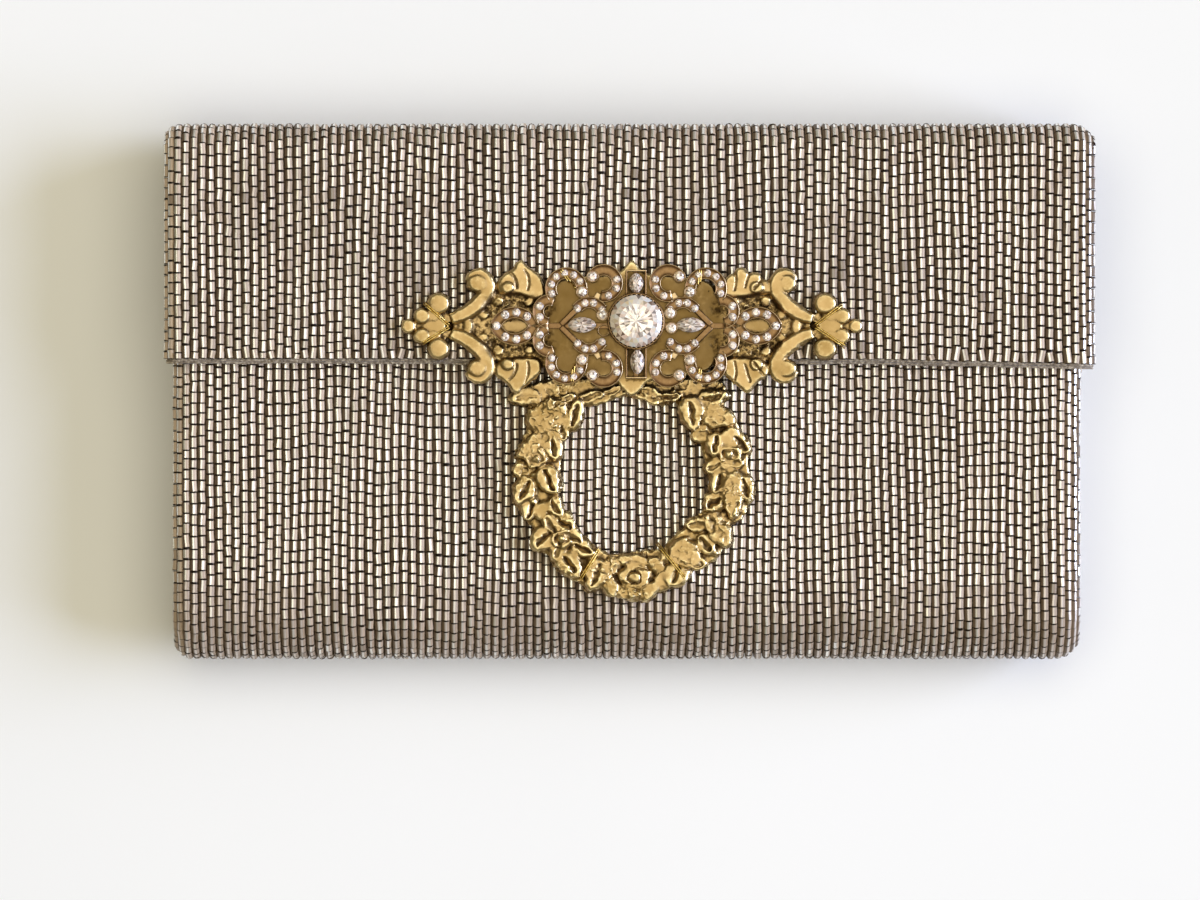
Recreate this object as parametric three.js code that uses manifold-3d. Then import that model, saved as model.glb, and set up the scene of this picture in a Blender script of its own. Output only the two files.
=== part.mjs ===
// Beaded fold-over evening clutch, lying on its back.
// One beaded panel makes the front, the bottom fold, the back, the top fold and the flap, and two
// folded gussets close its sides. The flap carries a cast brass crest with a jewelled frame on it,
// and a brass leaf wreath hangs from the crest over the front.
// Millimetres, +Z up. X runs along the bag and +Y towards the fold of the flap. The origin is on
// the surface that the bag lies on, under the middle of the bag.

import * as THREE from 'three';
import { mergeVertices } from 'three/addons/utils/BufferGeometryUtils.js';
import Module from 'manifold-3d';

const wasm = await Module();
wasm.setup();

// Driving dimensions of the bag
const BAG_LENGTH = 129.4; // from the bottom fold to the top fold
const FLAP_WIDTH = 225;
const BODY_WIDTH = 219.8;
const BODY_SHIFT = -0.7; // of the front and bottom, off the middle of the flap
const BODY_THICKNESS = 27; // front face above the surface, at the edges
const FLAP_THICKNESS = 30.5; // flap face above the surface, at the edges
const WALL = 2.6; // cloth with its beads
const PADDING = 1.5; // how far the middle of the flap stands above its edges
const MOUTH_Y = 44; // free edge of the front, under the flap
const HEM_Y = 7.1; // free edge of the flap
const SEAT_GAP = 0.3; // between pieces that touch on the real bag

// Side edges of the panel roll inwards, a little more on the right
const EDGE_ROLL = { left: 4.5, right: 6 };
const EDGE_ROLL_ANGLES = [75, 50, 25];
const PANEL_STATIONS = 8; // across the panel, between its rolled edges

// Bends of the panel, by outer radius and angle in degrees, with a straight length between each pair
const BOTTOM_FOLD = { upper: { radius: 13, turn: 90 }, lower: { radius: 13, turn: 90 } };
const TOP_FOLD = { upper: { radius: 6.5, turn: 90 }, lower: { radius: 11, turn: 90 } };
const BEND_STEP = 15; // degrees

// Hem of the flap dips towards its right corner
const HEM_DIPS = [
  { x: -FLAP_WIDTH / 2, dip: 0 },
  { x: 60, dip: 0.2 },
  { x: FLAP_WIDTH / 2, dip: 1.4 },
];

// Side gussets: a wall with a fold that pushes inwards, deepest at the mouth
const GUSSET_WALL = 1.4;
const GUSSET_INSET = 1.2; // behind the start of the rolled edge
const GUSSET_STEPS = 8; // from back to front
const GUSSET_SECTIONS = [
  { y: -60.5, fold: 0.6 },
  { y: -58, fold: 1.2 },
  { y: -54, fold: 2.2 },
  { y: -30, fold: 4.5 },
  { y: 5, fold: 7 },
  { y: 40, fold: 9 },
];

// Ornaments, in the middle of the bag
const CREST_CENTRE = { x: 0.4, y: 15.7 };
const CREST_BASE = 1.5;
const CREST_BEVEL = 0.35;
const JEWEL_CENTRE = { x: 1.4, y: 15.7 };
const JEWEL_THICKNESS = 2;
const WREATH_CENTRE = { x: 0.4, y: -22.2 };
const WREATH_HEIGHT = 4.4;

const COLOURS = {
  beads: new THREE.MeshStandardMaterial({ color: '#8f7f70', roughness: 0.3, metalness: 0.4 }),
  gusset: new THREE.MeshStandardMaterial({ color: '#4a382c', roughness: 0.8, metalness: 0 }),
  brass: new THREE.MeshStandardMaterial({ color: '#a8853a', roughness: 0.35, metalness: 1 }),
  rose_gold: new THREE.MeshStandardMaterial({ color: '#b08a5c', roughness: 0.3, metalness: 1 }),
  crystal: new THREE.MeshStandardMaterial({ color: '#f2f2ee', roughness: 0.05, metalness: 0 }),
};

const toRadians = THREE.MathUtils.degToRad;

// A closed three.js geometry as a manifold solid, and back again
function solidFrom(geometry) {
  const bare = geometry.clone();
  bare.deleteAttribute('normal');
  bare.deleteAttribute('uv');
  const merged = mergeVertices(bare, 1e-4);
  return new wasm.Manifold(new wasm.Mesh({
    numProp: 3,
    vertProperties: new Float32Array(merged.getAttribute('position').array),
    triVerts: new Uint32Array(merged.index.array),
  }));
}

function geometryFrom(solid) {
  const mesh = solid.getMesh();
  const geometry = new THREE.BufferGeometry();
  geometry.setAttribute('position', new THREE.BufferAttribute(new Float32Array(mesh.vertProperties), 3));
  geometry.setIndex(new THREE.BufferAttribute(new Uint32Array(mesh.triVerts), 1));
  geometry.computeVertexNormals();
  return geometry;
}

function fuse(geometries) {
  return geometryFrom(geometries.map(solidFrom).reduce((whole, next) => whole.add(next)));
}

function cut(geometry, tools) {
  const start = solidFrom(geometry);
  return geometryFrom(tools.map(solidFrom).reduce((rest, tool) => rest.subtract(tool), start));
}

// Upright round prism that stands on z = 0
function drum(radius, height, sides) {
  return new THREE.CylinderGeometry(radius, radius, height, sides)
    .rotateX(Math.PI / 2)
    .translate(0, 0, height / 2);
}

// Block that cuts a piece off flat at z = 0
function everythingBelow() {
  return new THREE.BoxGeometry(FLAP_WIDTH, BAG_LENGTH, BAG_LENGTH).translate(0, 0, -BAG_LENGTH / 2);
}

// Value at x in a table of { x, [column] } rows, on straight lines between them
function tableAt(rows, x, column) {
  const next = Math.max(1, rows.findIndex((row) => row.x >= x));
  const [low, high] = [rows[next - 1], rows[next]];
  return THREE.MathUtils.mapLinear(x, low.x, high.x, low[column], high[column]);
}

// Padding lifts the upper faces towards the middle and leaves the resting face flat
function padded(x, y, z) {
  const across = 1 - (2 * x / FLAP_WIDTH) ** 2;
  const along = 1 - (2 * y / BAG_LENGTH) ** 2;
  const swell = Math.max(0, across) * Math.max(0, along);
  return new THREE.Vector3(x, y, z * (1 + PADDING * swell / FLAP_THICKNESS));
}

// Closed wall between two matching grids of points
function wallBetween(outer, inner) {
  const rows = outer.length;
  const columns = outer[0].length;
  const points = [...outer.flat(), ...inner.flat()];
  const at = (side, row, column) => (side * rows + row) * columns + column;
  const faces = [];
  const quad = (a, b, c, d) => faces.push(a, b, c, a, c, d);
  for (let row = 0; row + 1 < rows; row += 1) {
    for (let column = 0; column + 1 < columns; column += 1) {
      quad(at(0, row, column), at(0, row + 1, column), at(0, row + 1, column + 1), at(0, row, column + 1));
      quad(at(1, row, column), at(1, row, column + 1), at(1, row + 1, column + 1), at(1, row + 1, column));
    }
    quad(at(0, row, 0), at(1, row, 0), at(1, row + 1, 0), at(0, row + 1, 0));
    const last = columns - 1;
    quad(at(0, row + 1, last), at(1, row + 1, last), at(1, row, last), at(0, row, last));
  }
  for (let column = 0; column + 1 < columns; column += 1) {
    const last = rows - 1;
    quad(at(0, 0, column + 1), at(1, 0, column + 1), at(1, 0, column), at(0, 0, column));
    quad(at(0, last, column), at(1, last, column), at(1, last, column + 1), at(0, last, column + 1));
  }
  const geometry = new THREE.BufferGeometry().setFromPoints(points);
  geometry.setIndex(faces);
  geometry.computeVertexNormals();
  return geometry;
}

// Outline of the panel in the YZ plane, from the mouth down the front, round the bottom fold,
// along the back, round the top fold and down the flap. Each leg is a straight run and then a bend.
function panelLegs() {
  const cos = (degrees) => Math.cos(toRadians(degrees));
  const sin = (degrees) => Math.sin(toRadians(degrees));
  // Slope between a fold's two bends, and how far the fold reaches past its upper face
  const slopeOf = (height, upper, lower) => (
    (height - upper.radius * (1 - cos(upper.turn)) - lower.radius * (1 - cos(lower.turn))) / sin(upper.turn)
  );
  const reachOf = (slope, upper, lower) => (
    upper.radius * sin(upper.turn) + slope * cos(upper.turn) + lower.radius * (1 - sin(lower.turn))
  );
  const [bottom, top] = [BOTTOM_FOLD, TOP_FOLD];
  const bottomSlope = slopeOf(BODY_THICKNESS, bottom.upper, bottom.lower);
  const topSlope = slopeOf(FLAP_THICKNESS, top.upper, top.lower);
  const frontRun = MOUTH_Y + BAG_LENGTH / 2 - reachOf(bottomSlope, bottom.upper, bottom.lower);
  const flapRun = BAG_LENGTH / 2 - reachOf(topSlope, top.upper, top.lower) - HEM_Y;
  const backRun = BAG_LENGTH - bottom.lower.radius - top.lower.radius;
  const body = { halfWidth: BODY_WIDTH / 2, shift: BODY_SHIFT };
  const flap = { halfWidth: FLAP_WIDTH / 2, shift: 0 };
  return [
    { run: frontRun, steps: 5, ...bottom.upper, from: body, to: body },
    { run: bottomSlope, steps: 1, ...bottom.lower, from: body, to: body },
    { run: backRun, steps: 5, ...top.lower, from: body, to: flap },
    { run: topSlope, steps: 1, ...top.upper, from: flap, to: flap },
    { run: flapRun, steps: 4, radius: 0, turn: 0, from: flap, to: flap },
  ];
}

const BACK_LEG = 2; // index of the leg along the back

function panelStations() {
  let [y, z, heading] = [MOUTH_Y, BODY_THICKNESS, 180];
  const legs = panelLegs();
  const stations = [];
  const mark = (leg, { halfWidth, shift }, onHem) => {
    const turned = toRadians(heading - 90);
    stations.push({ leg, y, z, out: { y: Math.cos(turned), z: Math.sin(turned) }, halfWidth, shift, onHem });
  };
  const between = (start, end, share) => ({
    halfWidth: THREE.MathUtils.lerp(start.halfWidth, end.halfWidth, share),
    shift: THREE.MathUtils.lerp(start.shift, end.shift, share),
  });
  mark(0, legs[0].from, 0);
  legs.forEach((leg, index) => {
    const bendSteps = Math.ceil(leg.turn / BEND_STEP);
    for (let step = 1; step <= leg.steps; step += 1) {
      y += Math.cos(toRadians(heading)) * leg.run / leg.steps;
      z += Math.sin(toRadians(heading)) * leg.run / leg.steps;
      const share = step / leg.steps;
      mark(index, between(leg.from, leg.to, share), index === legs.length - 1 ? share : 0);
    }
    for (let step = 0; step < bendSteps; step += 1) {
      const bend = leg.turn / bendSteps;
      const chord = 2 * leg.radius * Math.sin(toRadians(bend / 2));
      y += Math.cos(toRadians(heading + bend / 2)) * chord;
      z += Math.sin(toRadians(heading + bend / 2)) * chord;
      heading += bend;
      mark(index, leg.to, 0);
    }
  });
  return stations;
}

// Places across the panel: the rolled left edge, the flat middle and the rolled right edge
function acrossPanel({ halfWidth, shift }) {
  const rolled = (radius, side, degrees) => {
    const angle = toRadians(degrees);
    return {
      x: shift + side * (halfWidth - radius + radius * Math.sin(angle)),
      inset: radius * (1 - Math.cos(angle)),
      tilt: side * angle,
    };
  };
  const left = EDGE_ROLL_ANGLES.map((degrees) => rolled(EDGE_ROLL.left, -1, degrees));
  const right = EDGE_ROLL_ANGLES.map((degrees) => rolled(EDGE_ROLL.right, 1, degrees)).reverse();
  const low = shift - (halfWidth - EDGE_ROLL.left);
  const high = shift + halfWidth - EDGE_ROLL.right;
  const middle = Array.from({ length: PANEL_STATIONS + 1 }, (_, step) => (
    { x: THREE.MathUtils.lerp(low, high, step / PANEL_STATIONS), inset: 0, tilt: 0 }
  ));
  return [...left, ...middle, ...right];
}

function beadedPanel() {
  const surface = (depth) => panelStations().map(({ y, z, out, onHem, ...width }) => (
    acrossPanel(width).map(({ x, inset, tilt }) => {
      const inwards = inset + depth * Math.cos(tilt);
      const dip = onHem * tableAt(HEM_DIPS, x, 'dip');
      return padded(x - depth * Math.sin(tilt), y - out.y * inwards - dip, z - out.z * inwards);
    })
  ));
  return wallBetween(surface(0), surface(WALL));
}

// Height of the panel's inside at y, from the back wall to the front wall
function insideSpan(y) {
  const inner = panelStations()
    .filter(({ leg }) => leg <= BACK_LEG)
    .map((station) => ({ y: station.y - station.out.y * WALL, z: station.z - station.out.z * WALL }));
  const crossings = [];
  inner.slice(1).forEach((end, index) => {
    const start = inner[index];
    if ((start.y - y) * (end.y - y) <= 0 && start.y !== end.y) {
      crossings.push(THREE.MathUtils.mapLinear(y, start.y, end.y, start.z, end.z));
    }
  });
  return { low: Math.min(...crossings), high: Math.max(...crossings) };
}

function gusset(side, edgeRoll) {
  const face = BODY_WIDTH / 2 - edgeRoll - GUSSET_INSET;
  const surface = (depth) => GUSSET_SECTIONS.map(({ y, fold }) => {
    const { low, high } = insideSpan(y);
    return Array.from({ length: GUSSET_STEPS + 1 }, (_, step) => {
      const share = step / GUSSET_STEPS;
      const pushed = fold * Math.sin(Math.PI * share);
      const z = THREE.MathUtils.lerp(low + SEAT_GAP, high - SEAT_GAP, share);
      return padded(BODY_SHIFT + side * (face - pushed - depth), y, z);
    });
  });
  const [near, far] = [surface(0), surface(GUSSET_WALL)];
  return side > 0 ? wallBetween(near, far) : wallBetween(far, near);
}

// Crest: a cast plate, the same in all four quarters. Points of one quarter run from the end
// of the plate to the peak in its middle; a corner breaks the curve.
const CREST_OUTLINE = [
  { x: 53.4, y: 0, corner: true },
  { x: 50.2, y: 3.4 },
  { x: 45.8, y: 5.2, corner: true },
  { x: 43.2, y: 2.4 },
  { x: 38.6, y: 6.2 },
  { x: 36.2, y: 9.4, corner: true },
  { x: 33.8, y: 7.6, corner: true },
  { x: 33, y: 11 },
  { x: 29.6, y: 13.8 },
  { x: 26.4, y: 15.6, corner: true },
  { x: 23.2, y: 13.6 },
  { x: 21.2, y: 10.4, corner: true },
  { x: 16.5, y: 9.2 },
  { x: 9, y: 11.4, corner: true },
  { x: 3.6, y: 13.4 },
  { x: 0, y: 16.1, corner: true },
];
const CREST_BALLS = [
  { x: 53.5, y: 0, radius: 1.7 },
  { x: 50.3, y: 2.4, radius: 1.8 },
  { x: 46.1, y: 5.5, radius: 2.5 },
  { x: 37.3, y: 10.6, radius: 2.5 },
  { x: 30.2, y: 9.4, radius: 1.6 },
];
const CREST_SCROLL = [{ x: 43.4, y: 2 }, { x: 39.4, y: 4.2 }, { x: 36.2, y: 6.4 }, { x: 35.2, y: 9.6 }];
const SCROLL_RADIUS = 1.25;
const TIE_HOLE = { x: 43.6, radius: 1 };

const QUARTERS = [[1, 1], [-1, 1], [-1, -1], [1, -1]];

function crestQuarter() {
  const points = [];
  let stretch = [];
  CREST_OUTLINE.forEach((row, index) => {
    stretch.push(new THREE.Vector2(row.x, row.y));
    if (row.corner && index > 0) {
      const steps = 2 * (stretch.length - 1);
      const curve = new THREE.SplineCurve(stretch);
      points.push(...curve.getPoints(stretch.length > 2 ? steps : 1).slice(points.length ? 1 : 0));
      stretch = [stretch.at(-1)];
    }
  });
  return points;
}

function crestPlate() {
  const quarter = crestQuarter();
  const turns = QUARTERS.map(([sx, sy]) => {
    const part = quarter.map((point) => new THREE.Vector2(sx * point.x, sy * point.y));
    return sx * sy > 0 ? part.slice(0, -1) : part.reverse().slice(0, -1);
  });
  const plate = new THREE.ExtrudeGeometry(new THREE.Shape(turns.flat()), {
    depth: CREST_BASE - 2 * CREST_BEVEL,
    bevelThickness: CREST_BEVEL,
    bevelSize: CREST_BEVEL,
    bevelOffset: -CREST_BEVEL,
    bevelSegments: 1,
  });
  plate.translate(0, 0, CREST_BEVEL);
  const raised = QUARTERS.flatMap(([sx, sy]) => {
    const onAxis = CREST_BALLS.filter((ball) => ball.y > 0 || sy > 0);
    const balls = onAxis.map((ball) => new THREE.SphereGeometry(ball.radius, 9, 6)
      .scale(1, 1, 0.6)
      .translate(sx * ball.x, sy * ball.y, CREST_BASE));
    const route = new THREE.CatmullRomCurve3(CREST_SCROLL.map(
      (point) => new THREE.Vector3(sx * point.x, sy * point.y, CREST_BASE),
    ));
    const section = new THREE.Shape().absarc(0, 0, SCROLL_RADIUS, 0, 2 * Math.PI);
    const scroll = new THREE.ExtrudeGeometry(section, { steps: 5, curveSegments: 4, extrudePath: route });
    return [...balls, scroll];
  });
  const holes = [1, -1].map((side) => drum(TIE_HOLE.radius, 4 * CREST_BASE, 12)
    .translate(side * TIE_HOLE.x, 0, -CREST_BASE));
  return cut(fuse([plate, ...raised]), [...holes, everythingBelow()]);
}

// Jewelled frame: bands for the small stones, as arcs about a centre in one quarter of the frame
const BAND_WIDTH = 2.3;
const FRAME_BANDS = [
  { x: 11.2, y: 2.1, radius: 3.5, from: 150, to: -25 },
  { x: 7.7, y: 10.2, radius: 3.2, from: 287, to: 30 },
  { x: 16.7, y: 8.9, radius: 3.7, from: 190, to: -35 },
  { x: 20.6, y: 3.4, radius: 2.8, from: 110, to: -82 },
  { x: 29, y: -1.7, radius: 4.9, from: 160, to: 17 },
];
const FRAME_WEBS = [
  { x: 15, y: 1.6, length: 7, turn: -25, width: 1.6 },
  { x: 12.2, y: 7, length: 5, turn: 70, width: 2 },
  { x: 9.5, y: 6.2, length: 3.4, turn: -58, width: 1.7 },
];
const BEZEL = { x: 0, y: 1.1, radius: 6.9, height: 3 };
const CROSS_BAR = { x: 0, y: 0, length: 28.7, turn: 90, width: 3.9 };
const LONG_BAR = { x: 0, y: 0, length: 49, turn: 0, width: 1.4 };
const CENTRE_STONE = { radius: 6.2, depth: 3.4, crown: 1.5, girdle: 0.3, table: 0.58 };
const SIDE_STONES = [
  { name: 'upper_stone', x: 0, y: 10.5, long: 4.8, wide: 2.9, turn: 90 },
  { name: 'lower_stone', x: 0, y: -8.9, long: 5.6, wide: 2.9, turn: 90 },
  { name: 'left_stone', x: -12.9, y: 0, long: 7, wide: 3, turn: 0 },
  { name: 'right_stone', x: 12.7, y: 0, long: 7, wide: 3, turn: 0 },
];
const STONE_HEIGHT = 1.6;

function arcBand({ x, y, radius, from, to }) {
  const shape = new THREE.Shape();
  shape.absarc(0, 0, radius + BAND_WIDTH / 2, toRadians(from), toRadians(to), true);
  shape.absarc(0, 0, radius - BAND_WIDTH / 2, toRadians(to), toRadians(from), false);
  return new THREE.ExtrudeGeometry(shape, { depth: JEWEL_THICKNESS, bevelEnabled: false, curveSegments: 7 })
    .translate(x, y, 0);
}

function barAt({ x, y, length, turn, width }) {
  return new THREE.BoxGeometry(length, width, JEWEL_THICKNESS / 2)
    .rotateZ(toRadians(turn))
    .translate(x, y, JEWEL_THICKNESS / 4);
}

function jewelFrame() {
  const quarter = [...FRAME_BANDS.map(arcBand), ...FRAME_WEBS.map(barAt)];
  const bands = QUARTERS.flatMap(([sx, sy]) => quarter.map((band) => {
    const copy = band.clone().scale(sx, sy, 1);
    return sx * sy > 0 ? copy : turnedOut(copy);
  }));
  const bezel = drum(BEZEL.radius, BEZEL.height, 32).translate(BEZEL.x, BEZEL.y, 0);
  const cross = barAt(CROSS_BAR);
  const spine = barAt(LONG_BAR);
  const seats = SIDE_STONES.map((stone) => marquise(stone, stone.wide / 2 + SEAT_GAP, JEWEL_THICKNESS)
    .translate(0, 0, JEWEL_THICKNESS / 2));
  const centreSeat = drum(CENTRE_STONE.radius + SEAT_GAP, BEZEL.height, 32)
    .translate(BEZEL.x, BEZEL.y, BEZEL.height - CENTRE_STONE.depth + CENTRE_STONE.crown);
  return cut(fuse([...bands, bezel, cross, spine]), [...seats, centreSeat]);
}

// A mirrored geometry with its faces turned to point out again
function turnedOut(geometry) {
  const plain = geometry.index ? geometry.toNonIndexed() : geometry;
  const place = plain.getAttribute('position');
  for (let corner = 0; corner < place.count; corner += 3) {
    const second = new THREE.Vector3().fromBufferAttribute(place, corner + 1);
    const third = new THREE.Vector3().fromBufferAttribute(place, corner + 2);
    place.setXYZ(corner + 1, ...third);
    place.setXYZ(corner + 2, ...second);
  }
  return plain;
}

// Boat-shaped outline of a marquise stone, grown to the given half width, as an upright prism
function marquise({ x, y, long, wide, turn }, halfWidth, height) {
  const halfLong = long / 2 + halfWidth - wide / 2;
  const radius = (halfLong ** 2 + halfWidth ** 2) / (2 * halfWidth);
  const sweep = Math.asin(halfLong / radius);
  const shape = new THREE.Shape();
  shape.absarc(0, halfWidth - radius, radius, Math.PI / 2 - sweep, Math.PI / 2 + sweep, false);
  shape.absarc(0, radius - halfWidth, radius, 1.5 * Math.PI - sweep, 1.5 * Math.PI + sweep, false);
  return new THREE.ExtrudeGeometry(shape, { depth: height, bevelEnabled: false, curveSegments: 6 })
    .rotateZ(toRadians(turn))
    .translate(x, y, 0);
}

// Round brilliant: a pointed base, a girdle and a flat table
function centreStone() {
  const { radius, depth, crown, girdle, table } = CENTRE_STONE;
  const profile = [
    { r: 0, h: 0 },
    { r: radius, h: depth - crown - girdle },
    { r: radius, h: depth - crown },
    { r: table * radius, h: depth },
    { r: 0, h: depth },
  ];
  return new THREE.LatheGeometry(profile.map(({ r, h }) => new THREE.Vector2(r, h)), 16).rotateX(Math.PI / 2);
}

// Wreath: a garland as a closed ring with scalloped edges, round below and drawn up to a bow above
const WREATH_REACH = { side: 23, down: 23, up: 25.6 };
const WREATH_HALF_WIDTH = 4.5;
const WREATH_SCALLOP = { count: 15, depth: 0.55 };
const WREATH_SQUARENESS = 0.8; // below 1 fills out the upper corners
const WREATH_BOW = { halfWidth: 2.2, height: 3, drop: 2.6, from: 0.45, to: 0.75 }; // passes under the crest
const WREATH_SIDES = { around: 10, along: 90, flatness: 0.25 };
const BOW_LOBES = [
  { x: -21, y: 20.6, length: 7.5, width: 3.4 },
  { x: -10, y: 20.6, length: 6.5, width: 3.4 },
  { x: 10, y: 20.6, length: 6.5, width: 3.4 },
  { x: 21, y: 20.6, length: 7.5, width: 3.4 },
];
const ROSE = { y: -22.3, radius: 5.8, height: 4.8 };

function garlandRing() {
  const { around, along, flatness } = WREATH_SIDES;
  const ring = new THREE.TorusGeometry(2, 1, around, along);
  const place = ring.getAttribute('position');
  for (let index = 0; index < place.count; index += 1) {
    const turn = 2 * Math.PI * (index % (along + 1)) / along;
    const section = 2 * Math.PI * Math.floor(index / (along + 1)) / around;
    const [c, s] = [Math.cos(turn), Math.sin(turn)];
    const upper = Math.max(0, s);
    const rise = s > 0 ? WREATH_REACH.up : WREATH_REACH.down;
    const spread = s > 0 ? Math.sign(c) * Math.abs(c) ** WREATH_SQUARENESS : c;
    const scalloped = WREATH_HALF_WIDTH + WREATH_SCALLOP.depth * Math.cos(WREATH_SCALLOP.count * turn);
    const halfWidth = THREE.MathUtils.lerp(scalloped, WREATH_BOW.halfWidth, upper ** 6);
    const outward = halfWidth * Math.cos(section);
    const towardsBow = THREE.MathUtils.smoothstep(s, WREATH_BOW.from, WREATH_BOW.to);
    const height = THREE.MathUtils.lerp(WREATH_HEIGHT, WREATH_BOW.height, towardsBow);
    place.setXYZ(
      index,
      spread * WREATH_REACH.side + c * outward,
      s * (rise + outward) - upper * WREATH_BOW.drop,
      height * Math.max(0, flatness + (1 - flatness) * Math.sin(section)),
    );
  }
  return ring;
}

function wreath() {
  const bow = BOW_LOBES.map(({ x, y, length, width }) => new THREE.SphereGeometry(1, 14, 8)
    .scale(length, width, WREATH_BOW.height)
    .translate(x, y, 0));
  const rose = new THREE.SphereGeometry(1, 18, 10)
    .scale(ROSE.radius, ROSE.radius, ROSE.height)
    .translate(0, ROSE.y, 0);
  return cut(fuse([garlandRing(), ...bow, rose]), [everythingBelow()]);
}

function piece(name, geometry, material, position = [0, 0, 0]) {
  const mesh = new THREE.Mesh(geometry, material);
  mesh.name = name;
  mesh.position.set(...position);
  return mesh;
}

// Heights at which the ornaments sit, on the swell of the padding
const crestSeat = padded(0, CREST_CENTRE.y, FLAP_THICKNESS).z + SEAT_GAP;
const jewelSeat = crestSeat + CREST_BASE + SEAT_GAP;
const wreathSeat = padded(0, WREATH_CENTRE.y, BODY_THICKNESS).z + SEAT_GAP;
const stoneSeat = JEWEL_THICKNESS / 2 + SEAT_GAP;
const centreStoneSeat = BEZEL.height - CENTRE_STONE.depth + CENTRE_STONE.crown + SEAT_GAP;

const jewel = new THREE.Group();
jewel.position.set(JEWEL_CENTRE.x, JEWEL_CENTRE.y, jewelSeat);
jewel.add(
  piece('jewel_frame', jewelFrame(), COLOURS.rose_gold),
  piece('centre_stone', centreStone(), COLOURS.crystal, [BEZEL.x, BEZEL.y, centreStoneSeat]),
  ...SIDE_STONES.map((stone) => piece(
    stone.name,
    marquise(stone, stone.wide / 2, STONE_HEIGHT),
    COLOURS.crystal,
    [0, 0, stoneSeat],
  )),
);

const clutch = new THREE.Group();
clutch.add(
  piece('beaded_panel', beadedPanel(), COLOURS.beads),
  piece('gusset_left', gusset(-1, EDGE_ROLL.left), COLOURS.gusset),
  piece('gusset_right', gusset(1, EDGE_ROLL.right), COLOURS.gusset),
  piece('crest', crestPlate(), COLOURS.brass, [CREST_CENTRE.x, CREST_CENTRE.y, crestSeat]),
  piece('wreath', wreath(), COLOURS.brass, [WREATH_CENTRE.x, WREATH_CENTRE.y, wreathSeat]),
  jewel,
);

export default clutch;
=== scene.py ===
import math

import bmesh
import bpy
import numpy as np
from mathutils import Matrix, Vector, noise
from mathutils.bvhtree import BVHTree


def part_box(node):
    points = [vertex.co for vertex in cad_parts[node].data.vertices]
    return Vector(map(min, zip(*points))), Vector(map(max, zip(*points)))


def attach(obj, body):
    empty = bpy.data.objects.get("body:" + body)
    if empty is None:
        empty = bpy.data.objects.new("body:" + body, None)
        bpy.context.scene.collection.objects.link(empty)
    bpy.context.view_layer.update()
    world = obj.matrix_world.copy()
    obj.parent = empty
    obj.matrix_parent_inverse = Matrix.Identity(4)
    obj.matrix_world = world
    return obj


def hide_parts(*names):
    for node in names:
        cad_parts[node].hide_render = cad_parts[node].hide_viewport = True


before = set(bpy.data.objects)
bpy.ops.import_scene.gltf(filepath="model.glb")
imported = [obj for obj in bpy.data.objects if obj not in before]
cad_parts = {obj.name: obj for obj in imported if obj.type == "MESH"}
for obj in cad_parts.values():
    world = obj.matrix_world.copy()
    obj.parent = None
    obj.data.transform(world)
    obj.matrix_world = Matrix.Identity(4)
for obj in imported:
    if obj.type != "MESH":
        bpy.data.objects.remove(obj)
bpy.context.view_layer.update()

# Sizes are in millimetres, in the frame of the CAD model, and MM turns them into metres.
MM = 0.001
SEED = 20
PHOTO_SIZE = (1200, 900)

# Beaded panel: the same folded strip as the CAD node
BAG_LENGTH = 129.4
FLAP_WIDTH = 225
BODY_WIDTH = 219.8
BODY_SHIFT = -0.7  # of the front and bottom, off the middle of the flap
BODY_THICKNESS = 27
FLAP_THICKNESS = 30.5
PADDING = 1.5
MOUTH_Y = 44
HEM_Y = 7.1
EDGE_ROLL = (4.5, 6)  # left, right
EDGE_TURN = math.radians(75)
BOTTOM_FOLD = ((13, 90), (13, 90))  # radius and turn of the upper and the lower bend
TOP_FOLD = ((6.5, 90), (11, 90))
HEM_DIPS = ((-112, 0), (60, 0.2), (112, 1.4))  # x, dip of the hem
WALK_STEP = 0.05  # between the places along the strip that are worked out

# Bugle beads
BEAD_PITCH = 2.66
BEAD_WIDTH = 1.98
BEAD_HEIGHT = 0.96
BEAD_COLUMNS = 110
BEAD_SIDES = 7
BACK_BEAD_SIDES = 5
BEAD_ARC = (-20, 200)  # degrees round a bead, open below
BEAD_RINGS = ((-1, 0.86), (-0.93, 1), (0.93, 1), (1, 0.86))  # place along, size
BEAD_KINDS = 64
KINDS_A_ROW = 8  # squares of the bake map
SQUARE_FILL = 0.42  # half of what a bead fills of its square
SQUARE_ENDS = (1.02, 0.1, 0.8)  # where its ends start there, their depth, and the height that starts them

# Looks of the beads, with places round and along a bead from -1 to 1
# The streak is the silver lining drawn as a strip along the top, shifted off the middle so that its edge
# catches the window's reflection: partly a painted highlight
STREAK_SHIFT = (0.055, 0.05)  # mean, spread
STREAK_HALF_WIDTH = (0.105, 0.17)  # least, most
STREAK_LOSS = 0.5  # of strength, on the dullest kind
BARE_LOSS = 0.25  # more of it, on a kind with little silver
BLUE_SHARE = (0.94, 1.0)  # least, most
END_LINE = (0.81, 0.9)  # least and most place of the dark line at the ends
KNOT_LINE = 0.72  # its place beside a knot
ODD_KINDS = 16  # of so many kinds one is pink, one straw, one bare and one knotted
PINK_TINT = (0.97, 0.9, 0.87)
STRAW_TINT = (0.97, 0.95, 0.85)
MEAN_KIND = 0.64  # from dull to bright
KIND_SPREAD = 0.2
KIND_PATCHES = 0.16  # contrast of the bright and dull patches
FLAP_DULLNESS = 0.26
# weaker, browner streaks on the bottom bend: painted shade where the bend turns away from the lights
BOTTOM_BEND_SHADE = 0.66

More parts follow.
